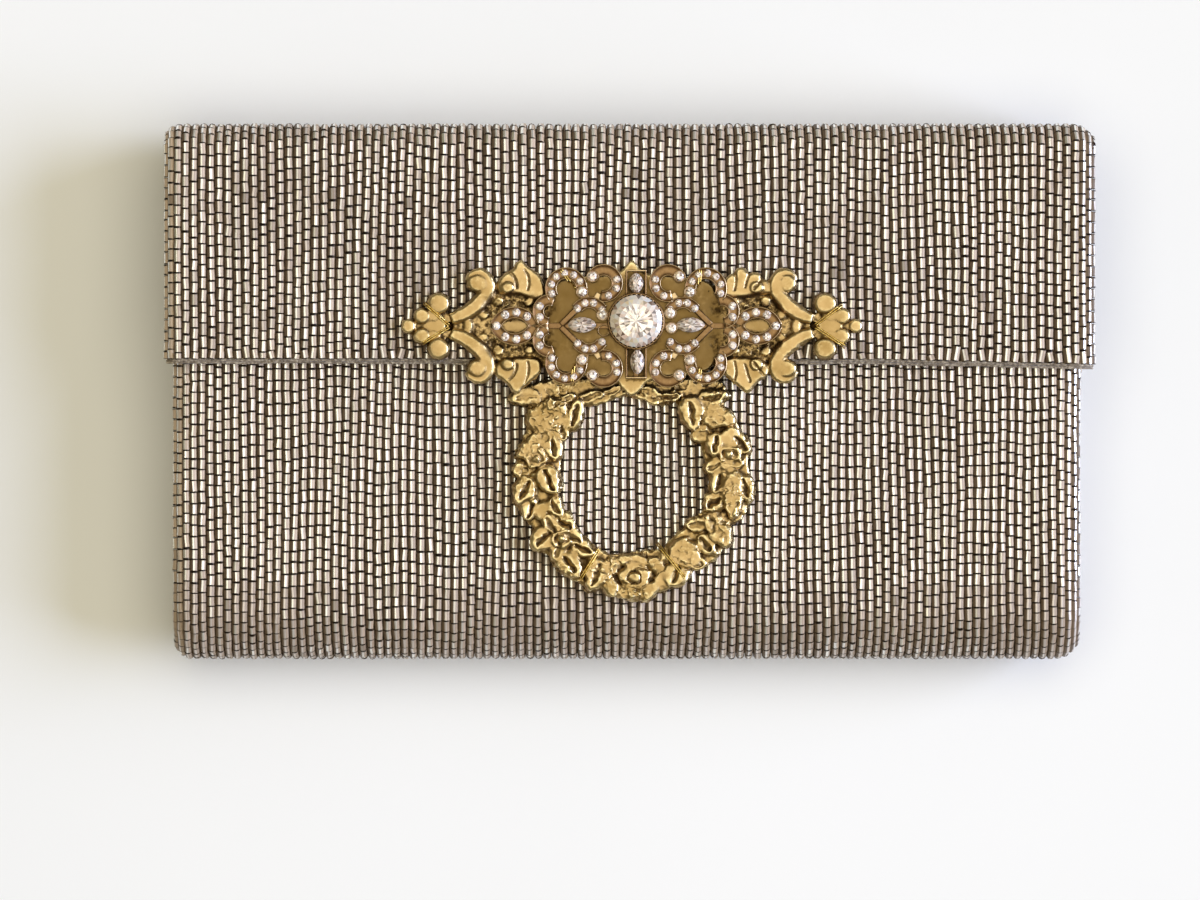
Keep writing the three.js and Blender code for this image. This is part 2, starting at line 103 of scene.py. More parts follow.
# Lie of the beads
HIDDEN_ROWS = 3  # of the front, that reach in under the flap
SPARE_BEADS = 8  # drawn for each column, and cut off at its ends
COLUMN_MEMORY = 0.7  # of the spread of the column before
ROW_SPREAD = 0.15
COLUMN_SHIFT = 0.45
END_SPREAD = 0.1
SHORTEST_BEAD = 0.45  # as a share of the pitch
COLUMN_WANDER = 0.005
LENGTH_SHARE = (0.94, 0.985)  # of its room that a bead fills
WIDTH_SHARE = (0.94, 1.0)
TILT_SPREAD = 0.04
LEAN_SPREAD = 0.025
LIFT_SPREAD = 0.06
LAST_LIFT = 0.14
LAST_LOOSENESS = 2  # how much more the last bead of a column tilts and leans

# Cloth under the beads
CLOTH_DEPTH = 1.35  # under the tops of the beads
CLOTH_THICKNESS = 1.2
CLOTH_STEPS = (150, 48)  # along, across

# Hem: bare threads under the last beads of the flap, with a few loose fibres
HEM_THREADS = 0.8  # depth of the bare threads
HEM_SEED = 50
HEM_REACH = 0.985  # share of the half width
HEM_STEPS = 170
HEM_ROWS = 4
HEM_ROW_START = 0.1
HEM_ROW_PITCH = 0.27
HEM_BENDS = 60  # along a row
HEM_SWAY = 0.09
HEM_LIFT = 0.25  # of the first row, and twice as much on every second one
HEM_LIFT_SPREAD = 0.04
HEM_DEPTH = 0.9
HEM_RADIUS = (0.2, 0.3)  # least, most
FIBRES = 70
FIBRE_POINTS = 7
FIBRE_REACH = 0.97
FIBRE_RUN = 0.02  # spread sideways, as a share of the half width
FIBRE_CURL = 0.002
FIBRE_DROP = (0.2, 0.5)  # mean, spread
FIBRE_BEND = (1.5, 3.1)  # radians of the curl, least and most
FIBRE_ROOT = (0.4, 0.4)  # above the end of the hem, depth
FIBRE_LIFT = (0.1, 0.7)
FIBRE_RADIUS = 0.06

# Gussets: folded side walls between the front and the back
GUSSET_WALL = 1.4
GUSSET_STEPS = (40, 14)  # along, up
GUSSET_INSET = 1.2  # behind the start of the rolled edge
GUSSET_GAP = 1.2  # above and below, to the panel's inside
PANEL_WALL = 2.6  # cloth with its beads
GUSSET_FOLDS = ((-60.5, 0.6), (-58, 1.2), (-54, 2.2), (-30, 4.5), (5, 7), (40, 9))  # y, depth of the fold
GUSSET_RIPPLE = (0.25, 3.1)  # depth, and length along for each radian of its wave

# Castings
CAST_VOXEL = 0.24
CAST_KEPT = 0.5  # share of the faces left after thinning
CAST_REACH = 14  # steps to the surroundings that hollows are measured from
WARP_SCALES = (0.3, 0.9)  # of the broad and the fine noise
WARP_SHARES = (1, 1, 0.3)  # across, along, up
WEAR_SCALES = (0.9, 2.1)
PATCH_SCALE = 0.14
PATCH_RANGE = (0.1, 1.4)
WEB_FADE = 0.4  # height over which the pits of the web fade out
LEAF_RIM = 0.2  # share of a leaf's radius that its rim takes to rise
LEAF_DOME = 0.2  # share of its height that is domed
LEAF_SLOPE = 0.1  # up to its tip
LEAF_POINT = 0.35  # how much it narrows to its tip

# Crest: a cast plate of buttons, scrolls and leaves, nearly alike in all four quarters
CREST_PLACE = (0.4, 15.7)
CREST_SEAT = 32.21
QUARTERS = ((1, 1), (-1, 1), (1, -1), (-1, -1))
CREST_WEB = ((53, 0), (50.6, 1.8), (46, 4), (43.2, 2.5), (40.5, 3), (37.2, 5.4), (34.6, 8), (31.5, 8.4),
             (27, 9.8), (21, 9.8), (16.5, 9.4), (10, 10.8), (4.6, 11.5), (0, 12))  # x, y of a quarter
CREST_WEB_HEIGHT = 1.35
CREST_WEB_ROUNDING = 0.35
CREST_FOOT = 0.3  # of the buttons over the seat
CREST_BUTTONS = (  # x, y, half length, half width, height
    (53.6, 0.2, 1.8, 1.6, 1.9),
    (50.3, 2.4, 2.2, 2.1, 2.2),
    (46.3, 5.4, 2.9, 2.8, 2.6),
    (47.2, 0, 3.6, 2.6, 1.8),
    (47.6, 2.6, 2.2, 1.8, 2),
    (39.2, 0, 1.2, 2, 1.9),
    (35.6, 2.6, 1.5, 1.1, 1.7),
    (32, 5.8, 1.4, 1.4, 2.1),
    (24.6, 5.6, 1.3, 1.1, 2),
    (37, 10.2, 2.7, 2.3, 2.5),
    (29.8, 9.2, 1.9, 1.6, 2.8),
)
CREST_SCROLL = ((43.2, 1.7, 1.2), (40, 3, 1.6), (37, 5.2, 1.8), (34.9, 7.8, 1.75), (34.6, 10.5, 1.6),
                (36, 12.3, 1.4), (38, 12, 1.2), (38.9, 10.6, 1))  # x, y, half width
CREST_LEAF = (2.2, 0.9)  # height, rounding
LEFT_LEAF = ((32.5, 9.6), (31.8, 11.2), (30.5, 12.5), (28.4, 13.7), (27.8, 15), (26.3, 15.8), (25, 14.5),
             (23.2, 13.2), (21.6, 11.5), (20.9, 9.5), (20.8, 7), (22.9, 6), (25, 6.8), (27.1, 7.6),
             (29.2, 7.4), (31.8, 7.9))
RIGHT_LEAF = ((33, 7.8), (33.3, 9.2), (32.6, 11), (31.3, 11.4), (30.7, 12.6), (29.2, 13), (28.2, 12.7),
              (26.9, 14), (25.2, 13.7), (24.5, 12.6), (23.2, 12.2), (21.6, 10), (21.2, 7.6), (23, 6.6),
              (28, 7))
LOWER_LEAF = ((32.7, 9.8), (32.6, 11.8), (30.8, 13.2), (29.4, 14.5), (28.7, 15.7), (27.2, 16.2), (26.1, 14.9),
              (24.2, 13.5), (22.2, 11.9), (21.5, 10.2), (22.2, 8), (24.8, 7.4), (28.1, 7.6), (31.3, 8.2))
LEFT_GROOVES = (  # depth as a share of the height, then x, y, half width
    (0.14, ((29.4, 13, 0.35), (28.2, 11.8, 0.5), (27.6, 10.2, 0.5), (27.5, 9, 0.4))),
    (0.14, ((25.6, 13.6, 0.35), (24.8, 11.8, 0.5), (24.7, 10, 0.5), (25, 8.6, 0.4))),
    (0.3, ((33, 5, 3.6), (30, 4.4, 3.8), (26, 4.2, 4), (21, 4, 4.2))),
)
RIGHT_GROOVES = (
    (0.15, ((28.3, 13.2, 0.5), (27.7, 11.2, 0.5), (27.1, 9.2, 0.4))),
    (0.15, ((31.4, 11.8, 0.5), (30.2, 10, 0.5), (29.2, 8.8, 0.4))),
    (0.15, ((24.6, 12.9, 0.5), (25, 11, 0.5), (24.6, 8.6, 0.5))),
    (0.3, ((33, 4.6, 3.4), (30, 4.2, 3.6), (26, 4.2, 3.8), (21, 4, 4))),
)
CREST_PEAK = (1.6, 0.45)  # height, rounding
UPPER_PEAK = ((-6.4, 10), (-4.3, 12.3), (-2.2, 13.5), (0, 15.7), (2.2, 13.5), (4.3, 12.3), (6.4, 10), (0, 8))
LOWER_PEAK = ((-7, -9.6), (-5.5, -12.5), (-3.7, -13.3), (-2.2, -15.3), (0, -16.8), (2.2, -15.3), (3.7, -13.3),
              (5.5, -12.5), (7, -9.6), (0, -8))
TIE_HOLE = (43.6, 1.05, 0.3)  # x, radius, height of its foot over the seat, where a floor is left that takes the dark colour of the hollows as painted shade in the hole
DRILL_LENGTH = 12  # well past the top of the crest
BACK_PLATE = ((24, 0), (23.6, 4), (20.5, 7.4), (18.4, 10.4), (14, 11.6), (8, 12.2), (4.6, 12.2), (0, 12.2))
END_PLATE = (29, 4.4, 2.5)  # x, half length and half width, behind the end loops of the jewel
BACK_PLATE_HEIGHT = 1.65
BACK_PLATE_ROUNDING = 0.3
CREST_WEAR = (0.05, 0.16, CREST_WEB_HEIGHT + 0.2, 0.24)  # pits, warp, height and pits of the web
SCROLL_STRANDS = (-0.44, 0, 0.44)  # side by side, so that the scrolls are flat on top
STRAND_RADIUS = 0.72  # as a share of the scroll's half width
SCROLL_LIFT = 1.2
JEWEL_SHADOW_HALVES = ((22, 12, 1), (33.5, 3.2, 0.45))  # half sizes of the jewel's painted shadow on the plate behind it, how dark
JEWEL_SHADOW_TOP = 2  # height over the seat up to which the painted shadow reaches
JEWEL_SHADOW_FADE = (3, 0.4)  # sideways, upwards

# Wreath: cast leaves, petals and blossoms on a broad band, with a ribbon under the crest
WREATH_SEAT = 28.5
WREATH_OUTSIDE = (
    (-28.4, -0.6), (-25, -3.4), (-22.6, -4.4), (-24.6, -8.4), (-27, -15), (-27.3, -20), (-27.2, -26),
    (-25.2, -30.4), (-22.6, -34), (-21.8, -37.6), (-17, -41.2), (-14, -45), (-10.6, -47), (-6.2, -46.6),
    (-3.2, -49), (0.8, -49.8), (6, -48.8), (8.6, -46.2), (11.4, -46.4), (14.6, -43.2), (18.8, -41.8),
    (22.8, -37.8), (23.8, -32.6), (26.8, -30.6), (28.6, -24.6), (28.2, -18), (28.2, -13.4), (25.2, -6.8),
    (22.6, -3.4), (23.2, -1), (18, 3), (-18, 3),
)  # x, y
WREATH_INSIDE = (
    (13, -2.4), (11.6, -1.6), (9.2, -2.9), (6.4, -3.2), (3.4, -1.8), (0, -1), (-3.4, -1.6), (-6.2, -2.7),
    (-9, -3.3), (-11.6, -4), (-12.2, -8.6), (-15.6, -11), (-16.4, -14.4), (-16.8, -19.6), (-17.4, -24.6),
    (-16, -28.4), (-12.8, -33.2), (-8, -37.4), (-4, -38.8), (1.2, -38.4), (7.6, -37.6), (11.6, -33.6),
    (16.4, -30), (18.6, -24.8), (18.6, -19.6), (17.4, -14), (16.6, -11.2), (13.4, -8.6),
)
WREATH_BAND_HEIGHT = 2
WREATH_BAND_ROUNDING = 0.6
WREATH_WEAR = (0.2, 0.6, WREATH_BAND_HEIGHT + 0.2, 0.16)
LEAF_SPREAD = (1.25, 1.5)  # of the lengths and widths below, where leaves overlap
LEAF_SLOT = ((-0.34, 0.6), (-0.1, 0.9), (0.12, 1), (0.28, 0.7))  # share of the length, half width
SLOT_DEPTH = 0.3  # of a full hollow, as a share of the height
LEAST_HOLLOW = 0.25  # leaves with less have no slot
WREATH_FOOT = 0.4  # of the leaves over the seat
WREATH_LEAVES = (  # x, y, length, width, turn, hollow, height of the top
    (-25.2, -1.3, 7.4, 3.4, 188, 0.3, 2.6),
    (-19.2, -6.2, 10, 7.2, 60, 0.12, 3.1),
    (-13.1, -5.6, 7.4, 2.9, 75, 0.65, 3.3),
    (-15.9, -2, 6, 2.4, 28, 0.3, 2.8),
    (-9.2, -1.1, 6.6, 2.1, 14, 0.5, 2.9),
    (-4.2, 0.2, 5, 1.8, 20, 0.3, 2.8),
    (5.2, -0.2, 5, 2, -16, 0.3, 2.8),
    (9.4, -1.3, 5.4, 2.2, 8, 0.5, 2.9),
    (-16, -9.8, 4, 2.6, -80, 0.6, 2.9),
    (-22.2, -13.8, 9.6, 5.6, 200, 0.15, 3),
    (-18.3, -13.6, 5.8, 3.4, -75, 0.6, 3.3),
    (-26, -19, 4, 3, 190, 0.4, 2.5),
    (-19.4, -21.4, 7, 4.2, -62, 0.75, 3.5),
    (-25.4, -23.8, 6.4, 3.9, -120, 0.7, 3.2),
    (-24.1, -28.6, 4.6, 3.4, -110, 0.7, 2.9),
    (-21.3, -28.4, 4.6, 3, -95, 0.2, 2.9),
    (-18, -27.8, 4.8, 3.1, -60, 0.7, 3.1),
    (-21, -35.4, 6, 4.4, -130, 0.7, 3.1),
    (-19, -31.8, 4.4, 3.2, 130, 0.5, 3),
    (-15.6, -31.8, 5.2, 3.5, -40, 0.75, 3.1),
    (-13.4, -35, 4.4, 3.2, -30, 0.6, 3),
    (-17.4, -38.2, 4.8, 3.6, -100, 0.5, 2.9),
    (-11.1, -37.7, 5.6, 3.2, -30, 0.8, 3),
    (-14.3, -41.6, 6.3, 4.4, -55, 0.75, 3.1),
    (-8.3, -44, 7.4, 4.8, -115, 0.6, 3.3),
    (19.9, -1.5, 7, 3, 8, 0.65, 2.8),
    (14.8, -5.3, 8, 4.2, -85, 0.65, 3.3),
    (21, -6, 8.4, 4.4, -20, 0.12, 3),
    (17.1, -10.3, 5, 3.6, 200, 0.3, 2.7),
    (20.3, -12.6, 5.6, 3.4, -95, 0.75, 3.2),
    (24.2, -11.2, 4.8, 4.2, 80, 0.15, 3.1),
    (26.6, -12.6, 5.4, 3, -45, 0.7, 3),
    (24.1, -16.8, 5.8, 4, 0, 0.3, 3),
    (20, -18, 4.2, 3.4, 200, 0.5, 2.8),
    (27.7, -23.2, 6.3, 3, -75, 0.75, 3.1),
    (24.8, -24.8, 10.6, 4.4, -92, 0.15, 3.5),
    (21.3, -21.9, 5, 3.2, -110, 0.7, 2.9),
    (20.1, -26.8, 4.9, 3.9, -140, 0.75, 3),
    (15.8, -32, 4.6, 2.8, 190, 0.35, 2.8),
    (19.6, -31.6, 5, 3.6, -70, 0.4, 2.9),
    (21.9, -34.4, 6.6, 3.9, -60, 0.3, 3.2),
    (18.3, -36.8, 5.4, 3.4, -50, 0.7, 2.9),
    (13.2, -39.4, 7.6, 5.2, -25, 0.15, 3.3),
    (10.8, -44, 5.6, 4.6, -120, 0.65, 3.2),
)
WREATH_BUTTONS = (  # x, y, radius, height of the top
    (-22.5, -16, 1.3, 3.7),
    (-22.3, -20.2, 1.2, 3),
    (-16.3, -35.3, 1.4, 3.8),
    (-23.4, -26.2, 1.1, 3.1),
    (24, -15, 1.4, 3.8),
    (13, -35.8, 1.2, 3.2),
    (14.9, -37, 1.1, 3.2),
    (16.2, -41.2, 1.2, 3),
    (20.6, -38.8, 1, 2.8),
    (8, -39.8, 1.5, 2.9),
    (22.6, -20.2, 1.2, 3),
    (-9.4, -40.6, 1.1, 2.9),
)
RING_HOLLOWS = ((-22.5, -16, 2.2), (24, -15, 2.3), (16.2, -41.2, 1.7), (-16.3, -35.3, 2.3))  # x, y, radius
RING_BAR = (0.6, 2.7)  # radius and lift of the rings round those places
RING_SQUASH = 0.8
RING_STEP = 24  # degrees
ROSE_PLACE = (1.0, -44.3)
ROSE_PETALS = (  # turn of the middle, distance, length, width
    (90, 4.2, 9, 3.6), (150, 5, 6.6, 4.4), (205, 5.2, 6.6, 4.4), (255, 4.8, 8, 4), (300, 5, 7, 4.2),
    (345, 5.4, 6.6, 4.4), (35, 5, 6.6, 4.2),
)
ROSE_SPREAD = (1.3, 0.85)  # of those distances, across and along
ROSE_FOOT = 0.8
PETAL_HEIGHT = 2.1
PETAL_POINT = 0.1
ROSE_DISCS = ((9, 7.3, 2.2), (3.6, 2.9, 2.4))  # length, width and height of the inner petals and the heart
ROSE_STRETCH = 1.22  # how much wider than tall the rose is
ROSE_GROOVES = (  # share of the height, half width, first and last radius, from, to
    (0.15, 0.36, 1.5, 1.5, 0, 360),
    (0.07, 0.34, 3.3, 3.3, 62, 250),
    (0.05, 0.32, 3, 3.4, 262, 398),
    (0.13, 0.32, 1.5, 3.3, 88, 20),
    (0.1, 0.3, 1.5, 3.2, 262, 200),
)
GROOVE_STEPS = 60
BOW_RIDGES = (
    ((-12, -2.4, 0.7), (-9, -2.6, 0.6), (-6, -1.9, 0.6), (-3, -0.9, 0.5), (-0.5, -0.2, 0.5)),
    ((-9, -0.6, 0.6), (-5, -0.8, 0.6), (-1.6, 0.4, 0.5)),
    ((0.6, -0.4, 0.5), (3.4, -1.2, 0.6), (6.4, -2.5, 0.6), (9.2, -2.2, 0.6), (11.6, -1, 0.6)),
    ((3.2, 0.6, 0.5), (7, -0.7, 0.6), (10.5, 0.2, 0.6)),
)  # x, y, radius
BOW_LIFT = 2

# Jewel: channels of small stones, four marquise stones and a round one in a bezel
JEWEL_PLACE = (1.4, 15.7)
JEWEL_SEAT = 34.01
CHANNEL = ((-1.4, 0), (1.4, 0), (1.4, 1.8), (1.32, 2), (1.18, 2.02), (1.06, 1.86), (0, 1.9),
           (-1.06, 1.86), (-1.18, 2.02), (-1.32, 2), (-1.4, 1.8))  # across, up
CHANNEL_STEPS = 20
SETTING_STEPS = 20
BEZEL_STEPS = 64
FRAME_ARCS = (  # x, y, radius, from, to, radius of the stones, their turns
    (11.2, 2.1, 3.5, 150, 34, 0.95, (150, 107, 73, 36)),
    (7.7, 10.2, 3.2, 287, 30, 0.95, (164, 203, 250)),
    (16.7, 8.9, 3.7, 190, -35, 0.92, (152, 118, 84, 50, 16, -18)),
    (20.6, 3.4, 2.8, 110, -82, 1.02, (28, -28)),
    (29, -1.7, 4.9, 160, 17, 1.06, (126, 94, 62)),
)
HEART_BAR = ((13.7, 4.5), (18, 0.2))
HEART_SECTION = (1.5, 1.95)  # width, height
HEART_ROUNDING = 0.3
FRAME_WEBS = ((12.2, 7, 5, 70), (9.5, 6.2, 3.4, -58))  # x, y, length, turn
WEB_SECTION = (1.7, 1.5)
WEB_FOOT = 0.1
SPINE = (49, 1.4, 1)  # length, width, height
ROUND_SETTINGS = ((10.4, 11.8), (12.9, 8.1))
HEART_SETTINGS = ((-8, 2.6), (8.2, 3), (8.5, -0.5))
EMPTY_SETTING = (-7.7, -1.1)
END_STONE = (33.4, 0.0)
END_STONE_RADIUS = 1.06
ROUND_STONE_RADIUS = 1.22
SETTING_RIM = ((0, 0), (0.26, 0), (0.26, 2.2), (0.14, 2.35), (0, 2.2))  # out from its stone, up
BEZEL_PLACE = (0, 1.1)
BRILLIANT_RADIUS = 6.2
BEZEL_GAP = 0.12  # round the stone
BEZEL_RIM = ((0, 0), (0.58, 0), (0.58, 2.5), (0.35, 3), (0, 2.85))  # out from its inside, up
BEZEL_GRAINS = (36, 0.32, 2.95)  # number, radius, height
SIDE_STONES = (  # node, x, y, length, width, turn
    ("upper_stone", 0, 10.2, 4.9, 3.5, 90),
    ("lower_stone", 0.3, -8.6, 6, 3.4, 90),
    ("left_stone", -12.9, 0.2, 6.9, 3.7, 0),
    ("right_stone", 13, 0.2, 6.9, 3.6, 0),
)
STONE_FRAMES = ((6.4, 13.2), (-4.6, -12.4))  # from and to of the bars beside the upper and lower stones
FRAME_BAR = (2.3, 0.42, 1.9)  # x, width and height of those bars
FRAME_SPINE = (1.1, 0.8)  # width and height of the bar under the stone
BAR_ROUNDING = 0.12
MOUNT_REACH = 2  # steps to the surroundings that hollows are measured from
SMALL_CUT = ((1, 0), (0.97, 0.2), (0.6, 0.55))  # share of the outline, height
SMALL_SIDES = 8
CHANNEL_STONE_HEIGHT = 1.75  # of the girdle over the seat
ROUND_STONE_HEIGHT = 1.95
SIDE_CUT = ((0.6, 0), (1, 0.4), (0.97, 0.5), (0.72, 0.8), (0.4, 1))  # shares of the outline and height
SIDE_SIDES = 16
SIDE_POINT = 0.35  # how far the ends of its outline narrow
BRILLIANT_CUT = ((0.4, 0), (1, 1.75), (1, 2), (0.84, 2.75), (0.66, 3.15), (0.46, 3.25), (0.24, 3.32))
BRILLIANT_SIDES = 28
TABLE_PEAK = 0.05
SMALL_FLASH = 0.85  # of the brightest facet
SIDE_FLASH = 0.6
CENTRE_FLASH = 1
SMALL_SEED = 30
SIDE_SEED = 31
CENTRE_SEED = 40

# Tie wires, laid over what they hold, in pairs
TIE_RADIUS = 0.17
WREATH_TIES = (((-7.2, -37.4), (-12, -45.2)), ((6.5, -36.4), (13.4, -44.9)))
CREST_TIES = (((-43.2, 15.7), (-49.4, 21.2)), ((-43.2, 15.5), (-49.8, 11.4)), ((44.2, 15.8), (50.8, 20.8)),
              ((44.2, 15.6), (51.6, 10.6)))
JEWEL_TIES = (((-16.6, 29.2), (-13.2, 24.4)), ((-13.9, 2.2), (-13.4, 7.2)), ((16.8, 29.2), (16.4, 24)),
              ((16.4, 2.4), (17, 7)))
TIE_SPREAD = 0.24  # of a pair of wires to either side
TIE_STEPS = 24
TIE_HOLD = 3  # steps that a wire stays up to either side of a high place
TIE_SINK = 0.2  # share of its radius that it sinks in
TIE_ROOT = 0.3  # depth of the ends under the seat of a casting
JEWEL_TIE_ROOT = 0.5
RAY_TOP = 60  # height above the whole ornament

# Stage, with lights in metres and watts
CAMERA_HEIGHT = 1400  # above the face of the flap
MM_PER_PIXEL = 0.24  # at the face of the flap
VIEW_CENTRE = (-7.2, -14.0)
SENSOR_WIDTH = 36
FLOOR_REACH = 3000
WORLD_COLOUR = (1, 0.87, 0.5, 1)
WORLD_STRENGTH = 0.2
LIGHTS = (  # name, place, size, power, tint
    ("window", (7.24, 0.3, 3), 6.4, 1055, (0.63, 0.717, 1)),
    ("overhead", (0.05, 0.12, 1.6), 2.15, 17.8, (1, 0.947, 0.79)),
)


# Shader nodes: values are Python expressions, and other nodes come from one method
class Value:
    def __init__(self, nodes, socket):
        self.nodes = nodes
        self.socket = socket

    def math(self, operation, *others):
        return self.nodes.add("ShaderNodeMath", {"operation": operation}, dict(enumerate((self, *others))))

    def __add__(self, other):
        return self.math("ADD", other)

    __radd__ = __add__

    def __mul__(self, other):
        return self.math("MULTIPLY", other)

    __rmul__ = __mul__

    def __sub__(self, other):
        return self.math("SUBTRACT", other)

    def __rsub__(self, other):
        return self.nodes.add("ShaderNodeMath", {"operation": "SUBTRACT"}, {0: other, 1: self})

    def __abs__(self):
        return self.math("ABSOLUTE")

    def step(self, low, high):
        settings = {"interpolation_type": "SMOOTHSTEP"}
        return self.nodes.add("ShaderNodeMapRange", settings, {"Value": self, 1: low, 2: high})


class Nodes:
    def __init__(self, name, **constants):
        self.material = bpy.data.materials.new(name)
        self.material.use_nodes = True
        self.tree = self.material.node_tree
        self.shader = self.tree.nodes["Principled BSDF"]
        self.feed(self.shader, {key.replace("_", " "): value for key, value in constants.items()})

    def feed(self, node, inputs):
        for key, value in inputs.items():
            if isinstance(value, Value):
                self.tree.links.new(value.socket, node.inputs[key])
            else:
                node.inputs[key].default_value = value

    def add(self, kind, settings, inputs, output=0):
        node = self.tree.nodes.new(kind)
        for key, value in settings.items():
            if key == "stops":
                self.set_stops(node.color_ramp, value)
            else:
                setattr(node, key, value)
        self.feed(node, inputs)
        return Value(self, node.outputs[output])

    @staticmethod
    def set_stops(ramp, stops):
        while len(ramp.elements) < len(stops):
            ramp.elements.new(1)
        for element, (position, colour) in zip(ramp.elements, stops):
            element.position = position
            element.color = colour

    def attribute(self, name, output="Fac"):
        return self.add("ShaderNodeAttribute", {"attribute_name": name}, {}, output)

    def place(self):
        return self.add("ShaderNodeTexCoord", {}, {}, "Object")

    def noise(self, scale, detail=3, roughness=0.5):
        inputs = {"Vector": self.place(), "Scale": scale, "Detail": detail, "Roughness": roughness}
        return self.add("ShaderNodeTexNoise", {}, inputs, "Fac")

    def ramp(self, value, *stops):
        return self.add("ShaderNodeValToRGB", {"stops": stops}, {"Fac": value})

    def mix(self, share, first, second, blend="MIX"):
        settings = {"data_type": "RGBA", "blend_type": blend}
        return self.add("ShaderNodeMix", settings, {0: share, 6: first, 7: second}, 2)

    def bump(self, height, strength, distance):
        inputs = {"Height": height, "Strength": strength, "Distance": distance}
        return self.add("ShaderNodeBump", {}, inputs)

    def finish(self, **varying):
        self.feed(self.shader, {key.replace("_", " "): value for key, value in varying.items()})
        return self.material


def colour(red, green, blue):
    """A display colour of 0 to 255, as the linear colour that shaders take."""
    shares = [value / 255 for value in (red, green, blue)]
    linear = [share / 12.92 if share <= 0.04 else ((share + 0.055) / 1.055) ** 2.4 for share in shares]
    return (*linear, 1)


# Materials
def bead_glass():
    """Silver-lined glass: a bright streak down the top, taupe sides and dark ends. The streak is the silver
    lining drawn only as a strip along the top, where the lights' reflection falls, so it is partly a painted
    highlight; the taupe sides are brown glass with painted light and shade across each bead.
    """
    nodes = Nodes("bead_glass", IOR=1.5, Specular_IOR_Level=0.15, Coat_Roughness=0.08, Coat_IOR=1.5)
    around = nodes.attribute("around")
    along = nodes.attribute("along")
    streak = nodes.add("ShaderNodeSeparateXYZ", {}, {0: nodes.attribute("streak", "Vector")}, "X")
    look = streak.socket.node
    width, strength = (Value(nodes, look.outputs[axis]) for axis in ("Y", "Z"))
    # silver lining drawn only on the streak, where the lights' reflection falls: partly a painted highlight
    right_edge = 1 - (around - streak - width).step(-0.05, 0.05)
    left_edge = (around - streak + width).step(-0.1, 0.12)
    lining_and_highlight = right_edge * left_edge * strength
    tinted = nodes.attribute("tint", "Color")
    end_line = Value(nodes, tinted.socket.node.outputs["Alpha"])
    ends = (abs(along) - end_line).step(-0.05, 0.05) * (1 - 0.35 * abs(around).step(0.3, 0.5))
    # brown glass with painted light and shade across the bead: light bands on one flank and dark bands on the
    # other, set against how the window's side light falls, darker valleys beside the neighbours, and a pale
    # half-tone beside the streak
    sides = nodes.ramp(
        around * 0.5 + 0.5,
        (0.03, colour(156, 136, 116)),
        (0.12, colour(194, 172, 150)),
        (0.19, colour(146, 126, 106)),
        (0.25, colour(218, 197, 174)),
        (0.3, colour(180, 158, 135)),
        (0.34, colour(218, 196, 172)),
        (0.38, colour(178, 157, 135)),
        (0.42, colour(184, 166, 147)),
        (0.46, colour(208, 193, 176)),
        (0.54, colour(168, 151, 133)),
        (0.57, colour(102, 87, 72)),
        (0.62, colour(88, 74, 61)),
        (0.67, colour(124, 107, 90)),
        (0.73, colour(94, 80, 66)),
        (0.81, colour(146, 127, 107)),
        (0.9, colour(140, 120, 100)),
    )
    silver = nodes.mix(1, colour(254, 254, 252), tinted, "MULTIPLY")
    body = nodes.mix(1 - strength, sides, colour(116, 99, 82))
    glass = nodes.mix(lining_and_highlight, body, silver)
    ended = nodes.mix(ends, glass, colour(34, 24, 16))
    return nodes.finish(
        Base_Color=ended,
        Metallic=lining_and_highlight * (1 - ends) * 0.92,
        Roughness=0.4 - lining_and_highlight * 0.2,
        Coat_Weight=(1 - ends) * 0.04,
    )


def dark_cloth():
    nodes = Nodes("dark_cloth", Roughness=0.85, Sheen_Weight=0.15)
    threads = nodes.noise(2400, 2)
    patches = nodes.noise(90, 3)
    shade = nodes.ramp(threads * 0.7 + patches * 0.3, (0.3, colour(66, 51, 38)), (0.7, colour(104, 84, 65)))
    return nodes.finish(Base_Color=shade, Normal=nodes.bump(threads, 0.4, 0.0003))


def gusset_silk():
    nodes = Nodes("gusset_silk", Roughness=0.7, Sheen_Weight=0.2)
    weave = {"Vector": nodes.place(), "Scale": 4160, "Distortion": 0.6}
    ribs = nodes.add("ShaderNodeTexWave", {"bands_direction": "Y"}, weave, "Fac")
    patches = nodes.noise(120, 3)
    shade = nodes.ramp(ribs * 0.4 + patches * 0.6, (0.25, colour(58, 45, 34)), (0.75, colour(98, 79, 60)))
    return nodes.finish(Base_Color=shade, Normal=nodes.bump(ribs, 0.35, 0.0002))


